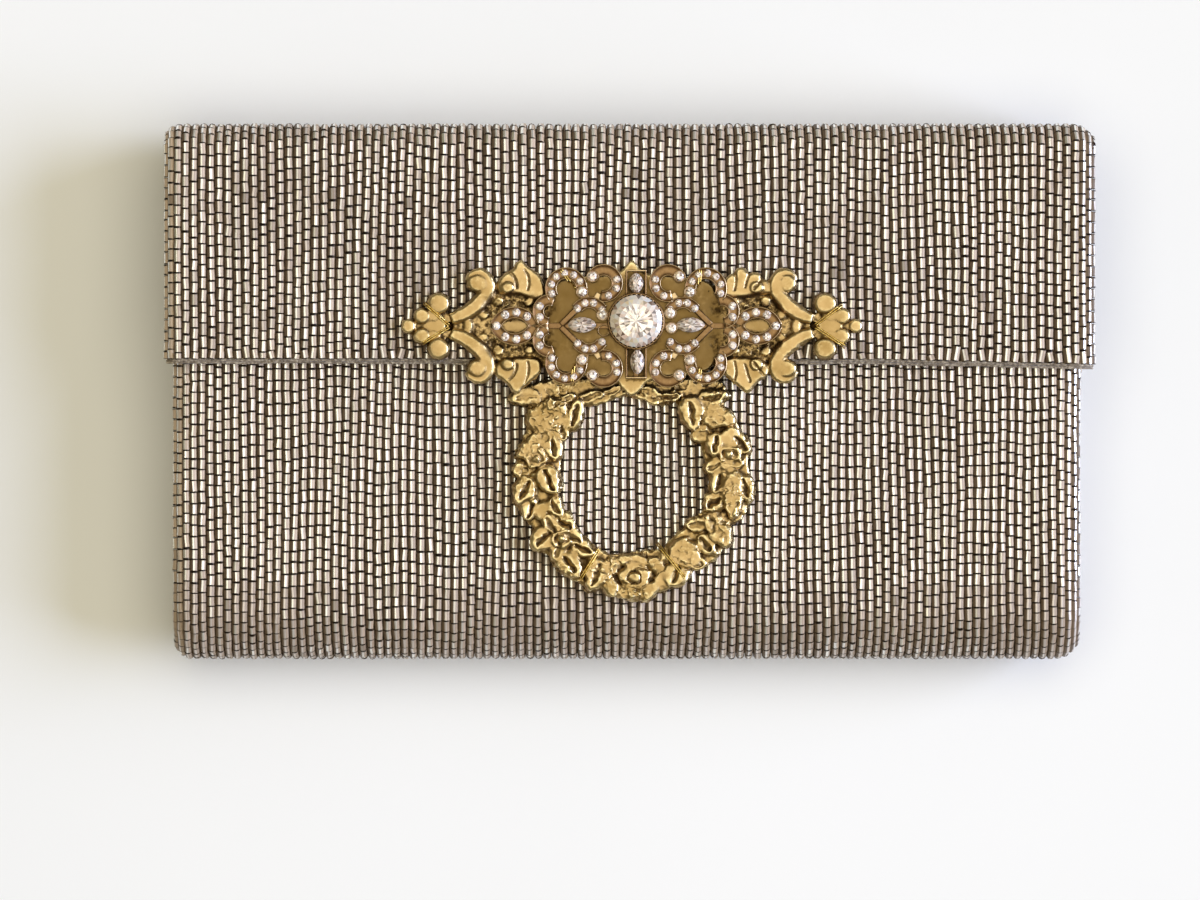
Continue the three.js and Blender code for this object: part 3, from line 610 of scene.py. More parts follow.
def antique_brass():
    """Satin cast brass, rubbed bright on its edges and dark with age in its hollows, with dark pits on its
    low web. The bright edges are partly wear and partly a painted highlight, and the plate behind the jewel
    carries the jewel's painted shadow.
    """
    nodes = Nodes("antique_brass", Metallic=1.0, IOR=1.5)
    hollow = nodes.attribute("hollow")
    rise = nodes.attribute("rise")
    grain = nodes.noise(1100, 4, 0.6)
    clouds = nodes.noise(160, 3)
    dull = nodes.attribute("dull")
    speckle = nodes.noise(2600, 2, 0.6)
    web = 1 - rise.step(1.2, 1.55)
    aged = (hollow * 1.4 + clouds * 0.16 + grain * 0.16 + web * 0.1 - 0.2).step(0.0, 0.34)
    # bright convex edges: partly rubbed wear, partly a painted highlight
    rubbed_and_highlight = (grain * 0.2 - hollow).step(0.11, 0.4)
    plain = nodes.ramp(clouds, (0.35, colour(160, 133, 86)), (0.65, colour(186, 158, 112)))
    worn_and_highlit = nodes.mix(rubbed_and_highlight * 0.95, plain, colour(248, 230, 180))
    pitted = nodes.mix(speckle.step(0.44, 0.6) * web * 0.85, worn_and_highlit, colour(58, 44, 22))
    # painted shadow of the jewel on the plate behind it, deepest behind the frames of the upper and lower
    # stones
    jewel_shaded = nodes.mix(dull.step(0, 1) * 0.85, pitted, colour(92, 71, 36))
    shaded = nodes.mix(dull.step(1, 2), jewel_shaded, colour(44, 32, 18))
    return nodes.finish(
        Base_Color=nodes.mix(aged, shaded, colour(68, 51, 30)),
        Roughness=0.3 + aged * 0.24 - rubbed_and_highlight * 0.08 + grain * 0.08,
        Normal=nodes.bump(grain, 0.35, 0.00014),
    )


def rose_gold():
    nodes = Nodes("rose_gold", Metallic=1.0, IOR=1.5)
    hollow = nodes.attribute("hollow")
    grain = nodes.noise(1400, 3)
    aged = (hollow + grain * 0.1).step(0.1, 0.4)
    plain = nodes.ramp(grain, (0.3, colour(120, 93, 63)), (0.7, colour(144, 115, 81)))
    # pale bands along the rims: partly rubbed wear, partly a painted highlight
    edge = grain * 0.1 - hollow
    rubbed_and_highlight = edge.step(0.08, 0.25) * (1 - edge.step(0.3, 0.45))
    gilt_and_highlight = nodes.mix(rubbed_and_highlight * 0.7, plain, colour(232, 208, 166))
    return nodes.finish(
        Base_Color=nodes.mix(aged, gilt_and_highlight, colour(104, 68, 38)),
        Roughness=0.26 + grain * 0.14 + aged * 0.15,
        Normal=nodes.bump(grain, 0.2, 0.00008),
    )


def tie_gold():
    nodes = Nodes("tie_gold", Metallic=1.0, Roughness=0.28)
    twist = nodes.noise(2600, 2)
    return nodes.finish(
        Base_Color=nodes.ramp(twist, (0.35, colour(196, 158, 74)), (0.65, colour(246, 220, 140))),
        Normal=nodes.bump(twist, 0.3, 0.00008),
    )


def cut_crystal():
    """Foil-backed glass with painted reflections: each facet flashes white, stays grey or goes dark by a
    painted brightness, with a little painted fire colour.
    """
    nodes = Nodes("cut_crystal", IOR=1.6, Roughness=0.08, Coat_Weight=0.6, Coat_Roughness=0.03)
    spark = nodes.attribute("spark")
    fire = nodes.attribute("fire")
    flash = nodes.ramp(
        spark,
        (0.0, colour(108, 92, 82)),
        (0.16, colour(160, 146, 136)),
        (0.34, colour(222, 208, 196)),
        (0.6, colour(248, 239, 231)),
        (1.0, colour(255, 253, 249)),
    )
    colours = nodes.ramp(
        fire,
        (0.0, colour(255, 236, 226)),
        (0.3, colour(255, 246, 238)),
        (0.55, colour(255, 255, 252)),
        (0.8, colour(240, 246, 255)),
        (1.0, colour(255, 246, 214)),
    )
    return nodes.finish(
        Base_Color=nodes.mix(1, flash, colours, "MULTIPLY"),
        Metallic=(spark - 0.3).step(0, 0.6) * 0.4,
    )


def hem_thread():
    nodes = Nodes("hem_thread", Roughness=0.75, Sheen_Weight=0.3)
    twist = nodes.noise(1500, 3)
    shade = nodes.ramp(
        twist,
        (0.3, colour(84, 70, 55)),
        (0.5, colour(132, 118, 100)),
        (0.72, colour(190, 178, 158)),
    )
    return nodes.finish(Base_Color=shade, Normal=nodes.bump(twist, 0.4, 0.0001))


def white_table():
    nodes = Nodes("white_table", Roughness=0.6)
    shade = nodes.ramp(nodes.noise(3), (0.3, colour(240, 240, 238)), (0.7, colour(246, 246, 245)))
    return nodes.finish(Base_Color=shade)


# Panel: where a place along and across the strip lies in space
def panel_legs():
    """Straight run, bend radius and bend angle of each leg from the mouth to the hem, with its half width
    and sideways shift at both ends."""
    def slope_of(height, upper, lower):
        drop = sum(radius * (1 - math.cos(math.radians(turn))) for radius, turn in (upper, lower))
        return (height - drop) / math.sin(math.radians(upper[1]))

    def reach_of(slope, upper, lower):
        turn = math.radians(upper[1])
        return upper[0] * math.sin(turn) + slope * math.cos(turn) + lower[0] * (1 - math.sin(turn))

    bottom_slope = slope_of(BODY_THICKNESS, *BOTTOM_FOLD)
    top_slope = slope_of(FLAP_THICKNESS, *TOP_FOLD)
    front = MOUTH_Y + BAG_LENGTH / 2 - reach_of(bottom_slope, *BOTTOM_FOLD)
    flap = BAG_LENGTH / 2 - reach_of(top_slope, *TOP_FOLD) - HEM_Y
    back = BAG_LENGTH - BOTTOM_FOLD[1][0] - TOP_FOLD[1][0]
    body_sides = np.array([BODY_WIDTH / 2, BODY_SHIFT])
    flap_sides = np.array([FLAP_WIDTH / 2, 0])
    return (
        (front, *BOTTOM_FOLD[0], body_sides, body_sides),
        (bottom_slope, *BOTTOM_FOLD[1], body_sides, body_sides),
        (back, *TOP_FOLD[1], body_sides, flap_sides),
        (top_slope, *TOP_FOLD[0], flap_sides, flap_sides),
        (flap, 0, 0, flap_sides, flap_sides),
    )


def panel_walk():
    """Columns of distance, y, z, heading, half width, shift and share of the flap, and where each leg bends
    and ends."""
    place = np.array([MOUTH_Y, BODY_THICKNESS], float)
    heading, distance = math.pi, 0.0
    rows, bends, ends = [], [], []
    legs = panel_legs()
    for leg, (run, radius, turn, start_sides, end_sides) in enumerate(legs):
        bend = radius * math.radians(turn)
        bends.append(distance + run)
        count = max(2, round(run / WALK_STEP))
        for index in range(count + 1):
            share = index / count
            at = place + run * share * np.array([math.cos(heading), math.sin(heading)])
            sides = start_sides + (end_sides - start_sides) * share
            on_flap = share if leg == len(legs) - 1 else 0
            rows.append((distance + run * share, *at, heading, *sides, on_flap))
        place = at
        for index in range(1, round(bend / WALK_STEP) + 1):
            turned = math.radians(turn) * index * WALK_STEP / bend
            inward = heading + math.pi / 2
            outward = inward - math.pi + turned
            centre = place + radius * np.array([math.cos(inward), math.sin(inward)])
            at = centre + radius * np.array([math.cos(outward), math.sin(outward)])
            rows.append((distance + run + index * WALK_STEP, *at, heading + turned, *end_sides, 0))
        if bend:
            place = at
            heading += math.radians(turn)
        distance += run + bend
        ends.append(distance)
    return np.array(rows).T, bends, ends


WALK, BENDS, LEG_ENDS = panel_walk()


def panel_surface(along, across, depth=0.0):
    """Points of the panel and its outward and along directions, at a distance along the strip in
    millimetres, a share across it from -1 to 1, and a depth under its face."""
    along, across, depth = np.broadcast_arrays(along, across, depth)
    y, z, heading, half, shift, on_flap = (np.interp(along, WALK[0], column) for column in WALK[1:])
    out_y, out_z = np.cos(heading - math.pi / 2), np.sin(heading - math.pi / 2)
    radius = np.where(across < 0, *EDGE_ROLL)
    flat = half - radius
    arc = np.abs(across) * (flat + radius * EDGE_TURN)
    turn = np.maximum(0, arc - flat) / radius
    inset = radius * (1 - np.cos(turn)) + depth * np.cos(turn)
    x = shift + np.sign(across) * (np.minimum(arc, flat) + (radius - depth) * np.sin(turn))
    dips = np.array(HEM_DIPS, float).T
    y = y - out_y * inset - on_flap * np.interp(x, *dips)
    z = z - out_z * inset
    swell = np.clip(1 - (2 * x / FLAP_WIDTH) ** 2, 0, 1) * np.clip(1 - (2 * y / BAG_LENGTH) ** 2, 0, 1)
    z = z * (1 + PADDING * swell / FLAP_THICKNESS)
    points = np.stack([x, y, z], -1)
    outward = np.stack([np.sign(across) * np.sin(turn), out_y * np.cos(turn), out_z * np.cos(turn)], -1)
    forward = np.stack([np.zeros_like(x), np.cos(heading), np.sin(heading)], -1)
    return points, outward, forward


# Making pieces
def new_object(name, mesh, material, slot, *replaced):
    piece = bpy.data.objects.new(name, mesh)
    bpy.context.scene.collection.objects.link(piece)
    mesh.materials.clear()
    mesh.materials.append(material)
    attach(piece, "root")
    if replaced:
        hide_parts(*replaced)
    return piece


def sort_faces(bm):
    """Edges and faces in the order of their corners: extruded ones come in another order at each run."""
    bm.verts.index_update()
    count = len(bm.verts)

    def rank(element):
        first, second, *others = sorted(vert.index for vert in element.verts)
        return (first * count + second) * count + sum(others[:1])

    bm.edges.sort(key=rank)
    bm.faces.sort(key=rank)


def mesh_from(bm, name, smooth=True):
    """The bmesh, in millimetres, as a mesh in metres."""
    bmesh.ops.scale(bm, vec=(MM, MM, MM), verts=bm.verts)
    mesh = bpy.data.meshes.new(name)
    bm.to_mesh(mesh)
    bm.free()
    for face in mesh.polygons:
        face.use_smooth = smooth
    return mesh


def repeated_mesh(name, points, faces, loop_places, values):
    """One mesh of many copies of a small shape: points is copies x corners x 3, faces are the shape's own
    loops of corners, loop_places is copies x loops x 2 on the bake's map, and values are named arrays with a
    number or a vector for each corner of each copy."""
    copies, corners, _ = points.shape
    mesh = bpy.data.meshes.new(name)
    mesh.vertices.add(copies * corners)
    mesh.vertices.foreach_set("co", (points * MM).astype(np.float32).ravel())
    loop = np.concatenate(faces)
    sizes = np.array([len(face) for face in faces])
    starts = np.concatenate([[0], np.cumsum(sizes)[:-1]])
    offset = np.arange(copies)[:, None]
    mesh.loops.add(copies * len(loop))
    mesh.loops.foreach_set("vertex_index", (loop[None] + offset * corners).astype(np.int32).ravel())
    mesh.polygons.add(copies * len(faces))
    mesh.polygons.foreach_set("loop_start", (starts[None] + offset * len(loop)).astype(np.int32).ravel())
    mesh.polygons.foreach_set("use_smooth", np.ones(copies * len(faces), bool))
    for key, value in values.items():
        kind, field = ("FLOAT", "value") if value.ndim == 2 else ("FLOAT_VECTOR", "vector")
        if value.shape[-1] == 4:
            kind, field = "FLOAT_COLOR", "color"
        mesh.attributes.new(key, kind, "POINT").data.foreach_set(field, value.astype(np.float32).ravel())
    bake_map = mesh.uv_layers.new(name="OFBake")
    bake_map.uv.foreach_set("vector", loop_places.astype(np.float32).ravel())
    mesh.update()
    mesh.validate()
    return mesh


def sharpen_rings(mesh, corners, sides):
    """Keep the shading of each bead's length apart from its ends."""
    edge = np.empty(2 * len(mesh.edges), np.int32)
    mesh.edges.foreach_get("vertices", edge)
    ring = edge.reshape(-1, 2) % corners // sides
    sharp = (ring[:, 0] == ring[:, 1]) & (ring[:, 0] > 0) & (ring[:, 0] < corners // sides - 1)
    mesh.attributes.new("sharp_edge", "BOOLEAN", "EDGE").data.foreach_set("value", sharp)


# Beads
def bead_shape(sides):
    """Corners (across, along, up, turn round) of one bead of unit size, its faces, and each loop's place on
    the bead's own square of the bake map, where its ends fold out past its length."""
    turns = np.radians(np.linspace(*BEAD_ARC, sides))
    half_arc = math.radians(BEAD_ARC[1] - BEAD_ARC[0]) / 2
    corners = [
        (math.cos(turn) * size, along, math.sin(turn) * size, (math.pi / 2 - turn) / half_arc)
        for along, size in BEAD_RINGS
        for turn in turns
    ]
    faces = [
        (ring * sides + side, ring * sides + (side + 1) % sides,
         (ring + 1) * sides + (side + 1) % sides, (ring + 1) * sides + side)
        for ring in range(len(BEAD_RINGS) - 1)
        for side in range(sides)
    ]
    last = (len(BEAD_RINGS) - 1) * sides
    ends = (tuple(reversed(range(sides))), tuple(range(last, last + sides)))
    corners = np.array(corners)
    places = [corners[list(face)][:, [3, 1]] for face in faces]
    start, depth, top = SQUARE_ENDS
    for end in ends:
        _, along, up, around = corners[list(end)].T
        places.append(np.stack([around, along * (start + depth * (top - up))], 1))
    return corners, [np.array(face) for face in (*faces, *ends)], np.concatenate(places)


def bead_looks():
    """Shift, width and strength of the silver streak, and tint, of each kind of bead. The fourth number of
    the tint is where the dark line at its ends starts."""
    rng = np.random.default_rng(SEED)
    streak = np.stack([
        rng.normal(*STREAK_SHIFT, BEAD_KINDS),
        rng.uniform(*STREAK_HALF_WIDTH, BEAD_KINDS),
        1 - STREAK_LOSS * np.linspace(1, 0, BEAD_KINDS) ** 2,
    ], 1)
    tint = np.ones((BEAD_KINDS, 4))
    tint[:, 2] = rng.uniform(*BLUE_SHARE, BEAD_KINDS)
    tint[:, 3] = rng.uniform(*END_LINE, BEAD_KINDS)
    pink, straw, bare, knotted = (slice(first, None, ODD_KINDS) for first in range(4))
    tint[knotted, 3] = KNOT_LINE
    tint[pink, :3] = PINK_TINT
    tint[straw, :3] = STRAW_TINT
    streak[bare, 2] -= BARE_LOSS
    return streak, tint


def bead_places(rng, start, stop):
    """Middle along, share across, length, and whether it is the last of its column, of every bead between
    two distances. Each column nearly follows the one before it, so that its rows wander."""
    rows = []
    beads_a_column = round((stop - start) / BEAD_PITCH) + SPARE_BEADS
    spread = np.zeros(beads_a_column)
    shift = 0.0
    for column in range(BEAD_COLUMNS):
        spread = COLUMN_MEMORY * spread + rng.normal(0, ROW_SPREAD, beads_a_column)
        shift = (shift + rng.normal(0, COLUMN_SHIFT)) % BEAD_PITCH
        row_ends = start - 2 * BEAD_PITCH + shift + np.cumsum(BEAD_PITCH + spread)
        ends = row_ends + rng.normal(0, END_SPREAD, beads_a_column)
        ends = np.append(ends[(ends > start) & (ends < stop - SHORTEST_BEAD * BEAD_PITCH)], stop)
        middle = (ends[1:] + ends[:-1]) / 2
        share = np.full(len(middle), (2 * column + 1) / BEAD_COLUMNS - 1)
        rows.append(np.stack([middle, share, np.diff(ends), np.arange(len(middle)) == len(middle) - 1]))
    return np.concatenate(rows, 1)


def bead_table():
    """A column for each bead: its place, size, tilt sideways, lean, lift and kind."""
    rng = np.random.default_rng(SEED)
    hidden = MOUTH_Y - HEM_Y - HIDDEN_ROWS * BEAD_PITCH  # under the flap
    along, across, length, last = bead_places(rng, hidden, LEG_ENDS[4] - HEM_THREADS)
    total = len(along)
    wander = COLUMN_WANDER * np.sin(along / 19 + across * 5) * np.cos(across * 8 + along / 41)
    across = across + wander * (1 - across ** 8)
    patch = np.sin(along / 9 + 4 * across) * np.cos(11 * across - along / 13)
    patch = patch + np.sin(along / 23 - 7 * across)
    # duller kinds on the flap, and on the bottom bend painted shade: its streaks dim there as if turned away
    # from the lights
    bottom = (along > BENDS[0] - 2 * BEAD_PITCH) & (along < LEG_ENDS[1])
    duller_and_bend_shade = FLAP_DULLNESS * (along > LEG_ENDS[3]) + BOTTOM_BEND_SHADE * bottom
    kind = (MEAN_KIND - duller_and_bend_shade + KIND_PATCHES * patch + rng.normal(0, KIND_SPREAD, total)) * BEAD_KINDS
    loose = 1 + LAST_LOOSENESS * last
    return np.stack([
        along,
        across,
        length * rng.uniform(*LENGTH_SHARE, total),
        BEAD_WIDTH * rng.uniform(*WIDTH_SHARE, total),
        rng.normal(0, TILT_SPREAD, total) * loose,
        rng.normal(0, LEAN_SPREAD, total) * loose,
        rng.normal(0, LIFT_SPREAD, total) + LAST_LIFT * last,
        np.clip(kind, 0, BEAD_KINDS - 1),
    ])


def beads(name, table, sides, material):
    along, across, length, width, tilt, lean, lift, kind = table
    points, outward, forward = panel_surface(along, across, BEAD_HEIGHT)
    sideways = np.cross(forward, outward)
    forward = forward + tilt[:, None] * sideways + lean[:, None] * outward
    sideways = np.cross(forward, outward)
    points = points + outward * lift[:, None]
    corners, faces, loop_places = bead_shape(sides)
    placed = (
        points[:, None]
        + (sideways * width[:, None] / 2)[:, None] * corners[None, :, 0:1]
        + (forward * length[:, None] / 2)[:, None] * corners[None, :, 1:2]
        + outward[:, None] * corners[None, :, 2:3] * BEAD_HEIGHT
    )
    placed[..., 2] = np.maximum(placed[..., 2], 0)
    kind = kind.astype(int)
    square = np.stack([kind % KINDS_A_ROW, kind // KINDS_A_ROW], 1)
    on_map = (square[:, None] + 0.5 + SQUARE_FILL * loop_places[None]) / KINDS_A_ROW
    streak, tint = bead_looks()
    values = {
        "around": np.broadcast_to(corners[:, 3], (len(kind), len(corners))),
        "along": np.broadcast_to(corners[:, 1], (len(kind), len(corners))),
        "streak": np.repeat(streak[kind][:, None], len(corners), 1),
        "tint": np.repeat(tint[kind][:, None], len(corners), 1),
    }
    mesh = repeated_mesh(name, placed, faces, on_map, values)
    sharpen_rings(mesh, len(corners), sides)
    return new_object(name, mesh, material, "beaded_cloth", "beaded_panel")


def panel_beads():
    glass = bead_glass()
    table = bead_table()
    stretches = (
        ("front_beads", 0, BENDS[0], BEAD_SIDES),
        ("bottom_beads", BENDS[0], LEG_ENDS[1], BEAD_SIDES),
        ("back_beads", LEG_ENDS[1], BENDS[2], BACK_BEAD_SIDES),
        ("top_beads", BENDS[2], LEG_ENDS[3], BEAD_SIDES),
        ("flap_beads", LEG_ENDS[3], LEG_ENDS[4], BEAD_SIDES),
    )
    for name, start, stop, sides in stretches:
        on_it = (table[0] >= start) & (table[0] < stop)
        beads(name, table[:, on_it], sides, glass)


def panel_cloth():
    """Cloth wall that the beads are sewn to, along the whole strip."""
    bm = bmesh.new()
    bmesh.ops.create_grid(bm, x_segments=CLOTH_STEPS[0], y_segments=CLOTH_STEPS[1], size=1)
    grid = np.array([vert.co for vert in bm.verts])
    along = (grid[:, 0] + 1) / 2 * LEG_ENDS[-1]
    points, _, _ = panel_surface(along, grid[:, 1], CLOTH_DEPTH)
    for vert, point in zip(bm.verts, points):
        vert.co = point
    bmesh.ops.recalc_face_normals(bm, faces=bm.faces)
    bmesh.ops.solidify(bm, geom=bm.faces[:], thickness=CLOTH_THICKNESS)
    sort_faces(bm)
    mesh = mesh_from(bm, "panel_cloth")
    return new_object("panel_cloth", mesh, dark_cloth(), "beaded_cloth", "beaded_panel")


# Gussets
def gusset(name, side, edge_roll, material):
    """Side wall with its fold, as tall as the inside of the panel all along the bag."""
    low, high = (np.array(corner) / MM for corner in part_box(name))
    bm = bmesh.new()
    bmesh.ops.create_grid(bm, x_segments=GUSSET_STEPS[0], y_segments=GUSSET_STEPS[1], size=1)
    face = BODY_WIDTH / 2 - edge_roll - GUSSET_INSET
    inside = BOTTOM_FOLD[0][0] - PANEL_WALL
    fold_start = BOTTOM_FOLD[0][0] - BAG_LENGTH / 2
    for vert in bm.verts:
        y = low[1] + (vert.co.x + 1) / 2 * (high[1] - low[1])
        share = (vert.co.y + 1) / 2
        fold = np.interp(y, *np.array(GUSSET_FOLDS).T) * math.sin(math.pi * share)
        ripple = GUSSET_RIPPLE[0] * math.sin(y / GUSSET_RIPPLE[1]) * math.sin(math.pi * share) ** 2
        into_fold = max(0.0, fold_start - y)
        narrowed = inside - math.sqrt(inside ** 2 - into_fold ** 2)
        tall = high[2] - low[2] - 2 * GUSSET_GAP - 2 * narrowed
        z = (low[2] + high[2]) / 2 + (share - 0.5) * tall
        vert.co = (BODY_SHIFT + side * (face - fold - ripple), y, z)
    bmesh.ops.recalc_face_normals(bm, faces=bm.faces)
    bmesh.ops.solidify(bm, geom=bm.faces[:], thickness=side * -GUSSET_WALL)
    bmesh.ops.recalc_face_normals(bm, faces=bm.faces)
    sort_faces(bm)
    return new_object(name + "_cloth", mesh_from(bm, name + "_cloth"), material, "gusset_cloth", name)


# Shapes for cast metal
def smooth_path(points, steps=6, closed=False):
    """Rounded path through rows of a place and whatever else each row holds."""
    points = np.array(points, float)
    if closed:
        padded = np.vstack([points[-1:], points, points[:2]])
    else:
        padded = np.vstack([2 * points[0] - points[1], points, 2 * points[-1] - points[-2]])
    share = np.linspace(0, 1, steps, endpoint=False)[:, None]
    pieces = [
        0.5 * (2 * b + (c - a) * share + (2 * a - 5 * b + 4 * c - d) * share ** 2
               + (3 * b - a - 3 * c + d) * share ** 3)
        for a, b, c, d in zip(padded, padded[1:], padded[2:], padded[3:])
    ]
    return np.vstack(pieces if closed else [*pieces, points[-1:]])


def join_mesh(bm, mesh, matrix):
    """Move a small mesh into place and add it to a bmesh."""
    mesh.transform(matrix)
    bm.from_mesh(mesh)
    bpy.data.meshes.remove(mesh)


def join_shape(bm, shape, matrix):
    """Move a small bmesh into place and add it to a larger one."""
    mesh = bpy.data.meshes.new("shape")
    shape.to_mesh(mesh)
    shape.free()
    join_mesh(bm, mesh, matrix)


def join_curve(bm, curve, matrix):
    holder = bpy.data.objects.new("shape", curve)
    mesh = bpy.data.meshes.new_from_object(holder)
    bpy.data.objects.remove(holder)
    bpy.data.curves.remove(curve)
    join_mesh(bm, mesh, matrix)


def add_spline(curve, places):
    """Straight pieces through rows of x, y and z."""
    spline = curve.splines.new("POLY")
    spline.points.add(len(places) - 1)
    spline.points.foreach_set("co", np.column_stack([places, np.ones(len(places))]).ravel())
    return spline


def add_bars(bm, paths, roundness=2, lift=0.0):
    """Bars along paths with rows of x, y, z and radius, lifted."""
    curve = bpy.data.curves.new("bars", "CURVE")
    curve.dimensions = "3D"
    curve.bevel_depth = 1
    curve.bevel_resolution = roundness
    curve.use_fill_caps = True
    for path in paths:
        add_spline(curve, path[:, :3]).points.foreach_set("radius", path[:, 3])
    join_curve(bm, curve, Matrix.Translation((0, 0, lift)))


def add_plate(bm, outlines, height, rounding):
    """Flat plate with its edges rounded, inside the first outline of x and y and outside the others."""
    curve = bpy.data.curves.new("plate", "CURVE")
    curve.dimensions = "2D"
    curve.fill_mode = "BOTH"
    curve.extrude = height / 2 - rounding
    curve.bevel_depth = rounding
    curve.bevel_resolution = 2
    curve.offset = -rounding
    for outline in outlines:
        path = smooth_path(outline, 5, closed=True)
        add_spline(curve, np.column_stack([path, np.zeros(len(path))])).use_cyclic_u = True
    join_curve(bm, curve, Matrix.Translation((0, 0, height / 2)))


def add_ball(bm, x, y, z, size):
    """Flattened ball with its half lengths."""
    shape = bmesh.new()
    bmesh.ops.create_uvsphere(shape, u_segments=20, v_segments=12, radius=1)
    join_shape(bm, shape, Matrix.Translation((x, y, z)) @ Matrix.Diagonal((*size, 1)))


def add_leaf(bm, x, y, z, length, width, height, turn, point=LEAF_POINT):
    """Leaf or petal round its own middle, gently domed, that narrows to its tip."""
    shape = bmesh.new()
    bmesh.ops.create_uvsphere(shape, u_segments=28, v_segments=18, radius=1)
    for vert in shape.verts:
        along, across, up = vert.co
        if up > 0:
            away = math.hypot(along, across)
            rim = min(1, (1 - away) / LEAF_RIM)
            dome = (1 - LEAF_DOME) * rim * (2 - rim) + LEAF_DOME * (1 - away ** 4)
            up = dome * (1 + LEAF_SLOPE * along)
        vert.co = (along * length / 2, across * (1 - point * along) * width / 2, up * height)
    join_shape(bm, shape, Matrix.Translation((x, y, z)) @ Matrix.Rotation(math.radians(turn), 4, "Z"))


def oval(x, y, length, width):
    """Outline with its half lengths."""
    turns = np.radians(np.arange(0, 360, 36))
    return [(x + length * math.cos(turn), y + width * math.sin(turn)) for turn in turns]


def mesh_arrays(mesh):
    """Points in millimetres, normals and edges of a mesh."""
    points = np.empty(len(mesh.vertices) * 3, np.float32)
    normals = np.empty(len(mesh.vertices) * 3, np.float32)
    edges = np.empty(len(mesh.edges) * 2, np.int32)
    mesh.vertices.foreach_get("co", points)
    mesh.vertex_normals.foreach_get("vector", normals)
    mesh.edges.foreach_get("vertices", edges)
    return points.reshape(-1, 3) / MM, normals.reshape(-1, 3), edges.reshape(-1, 2)


def add_value(mesh, name, values):
    mesh.attributes.new(name, "FLOAT", "POINT").data.foreach_set("value", values.astype(np.float32))


def mark_hollows(mesh, reach):
    """Attribute of how far, in millimetres, each point lies below its surroundings."""
    points, normals, edges = mesh_arrays(mesh)
    neighbours = np.maximum(1, np.bincount(edges.ravel(), minlength=len(points)))[:, None]
    around = points
    for _ in range(reach):
        total = np.stack([
            np.bincount(edges[:, 0], around[edges[:, 1], axis], len(points))
            + np.bincount(edges[:, 1], around[edges[:, 0], axis], len(points))
            for axis in range(3)
        ], 1)
        around = total / neighbours
    add_value(mesh, "hollow", ((around - points) * normals).sum(1))


def with_modifiers(mesh, *modifiers):
    """The mesh after modifiers, each a type and its settings."""
    holder = bpy.data.objects.new(mesh.name, mesh)
    bpy.context.scene.collection.objects.link(holder)
    for kind, settings in modifiers:
        modifier = holder.modifiers.new(kind.lower(), kind)
        for key, value in settings.items():
            setattr(modifier, key, value)
    graph = bpy.context.evaluated_depsgraph_get()
    made = bpy.data.meshes.new_from_object(holder.evaluated_get(graph))
    bpy.data.objects.remove(holder)
    bpy.data.meshes.remove(mesh)
    return made


def carve(points, seat, grooves):
    """Lower the points near each groove, a share and a path of x, y and half width, by that share of their
    height over the seat."""
    for share, path in grooves:
        widest = path[:, 2].max()
        inside = (points[:, :2] > path[:, :2].min(0) - widest) & (points[:, :2] < path[:, :2].max(0) + widest)
        near = np.flatnonzero(inside.all(1))
        away = np.linalg.norm(points[near, None, :2] - path[None, :, :2], axis=2) / path[:, 2]
        depth = share * np.clip(1 - away.min(1) ** 2, 0, 1) ** 2
        points[near, 2] -= depth * (points[near, 2] - seat)


def weather(mesh, seat, grooves, pits, warp, web_height, web_pits):
    """Surface of a casting: flat on its seat, carved, a little out of true, worn in patches, and pitted where
    its web lies low. The attribute rise is the height over the seat."""
    noise.seed_set(SEED)
    points, normals, _ = mesh_arrays(mesh)
    carve(points, seat, grooves)
    vectors = [Vector(point) for point in points]
    broad, fine = WARP_SCALES
    bent = np.array([noise.noise_vector(p * broad) + 0.5 * noise.noise_vector(p * fine) for p in vectors])
    bent *= WARP_SHARES
    broad, fine = WEAR_SCALES
    wear = np.array([noise.noise(point * broad) + 0.8 * noise.noise(point * fine) for point in vectors])
    patch = np.clip(0.7 + 2 * np.array([noise.noise(point * PATCH_SCALE) for point in vectors]), *PATCH_RANGE)
    low = np.clip((seat + web_height - points[:, 2]) / WEB_FADE, 0, 1)
    points = points + bent * warp + normals * (wear * (pits * patch + low * web_pits))[:, None]
    points[:, 2] = np.maximum(points[:, 2], seat)
    mesh.vertices.foreach_set("co", (points * MM).astype(np.float32).ravel())
    mesh.update()
    mark_hollows(mesh, CAST_REACH)
    add_value(mesh, "rise", points[:, 2] - seat)


def cast(name, bm, seat, wear, grooves, holes=None):
    """Overlapping shapes as one worn casting: fused, softened, drilled, carved, worn and thinned."""
    fuse = ("REMESH", {"mode": "VOXEL", "voxel_size": CAST_VOXEL * MM})
    soften = ("SMOOTH", {"factor": 0.5, "iterations": 2})
    drill = [("BOOLEAN", {"operation": "DIFFERENCE", "object": holes})] if holes else []
    mesh = with_modifiers(mesh_from(bm, name), fuse, soften, *drill)
    if holes:
        bpy.data.meshes.remove(holes.data)
    weather(mesh, seat, grooves, *wear)
    mesh = with_modifiers(mesh, ("DECIMATE", {"ratio": CAST_KEPT}))
    mesh.polygons.foreach_set("use_smooth", np.ones(len(mesh.polygons), bool))
    return mesh


# Crest
def crest_holes():
    """Drill for the two holes that the tie wires go into. The holes stop short of the seat, and their floors
    take the dark colour of the hollows: painted shade in the hole.
    """
    x, radius, skin = TIE_HOLE
    bm = bmesh.new()
    for side in (1, -1):
        made = bmesh.ops.create_cone(
            bm, cap_ends=True, segments=20, radius1=radius, radius2=radius, depth=DRILL_LENGTH,
        )["verts"]
        middle = CREST_SEAT + skin + DRILL_LENGTH / 2
        bmesh.ops.translate(bm, vec=(CREST_PLACE[0] + side * x, CREST_PLACE[1], middle), verts=made)
    drill = bpy.data.objects.new("crest_holes", mesh_from(bm, "crest_holes"))
    bpy.context.scene.collection.objects.link(drill)
    return drill


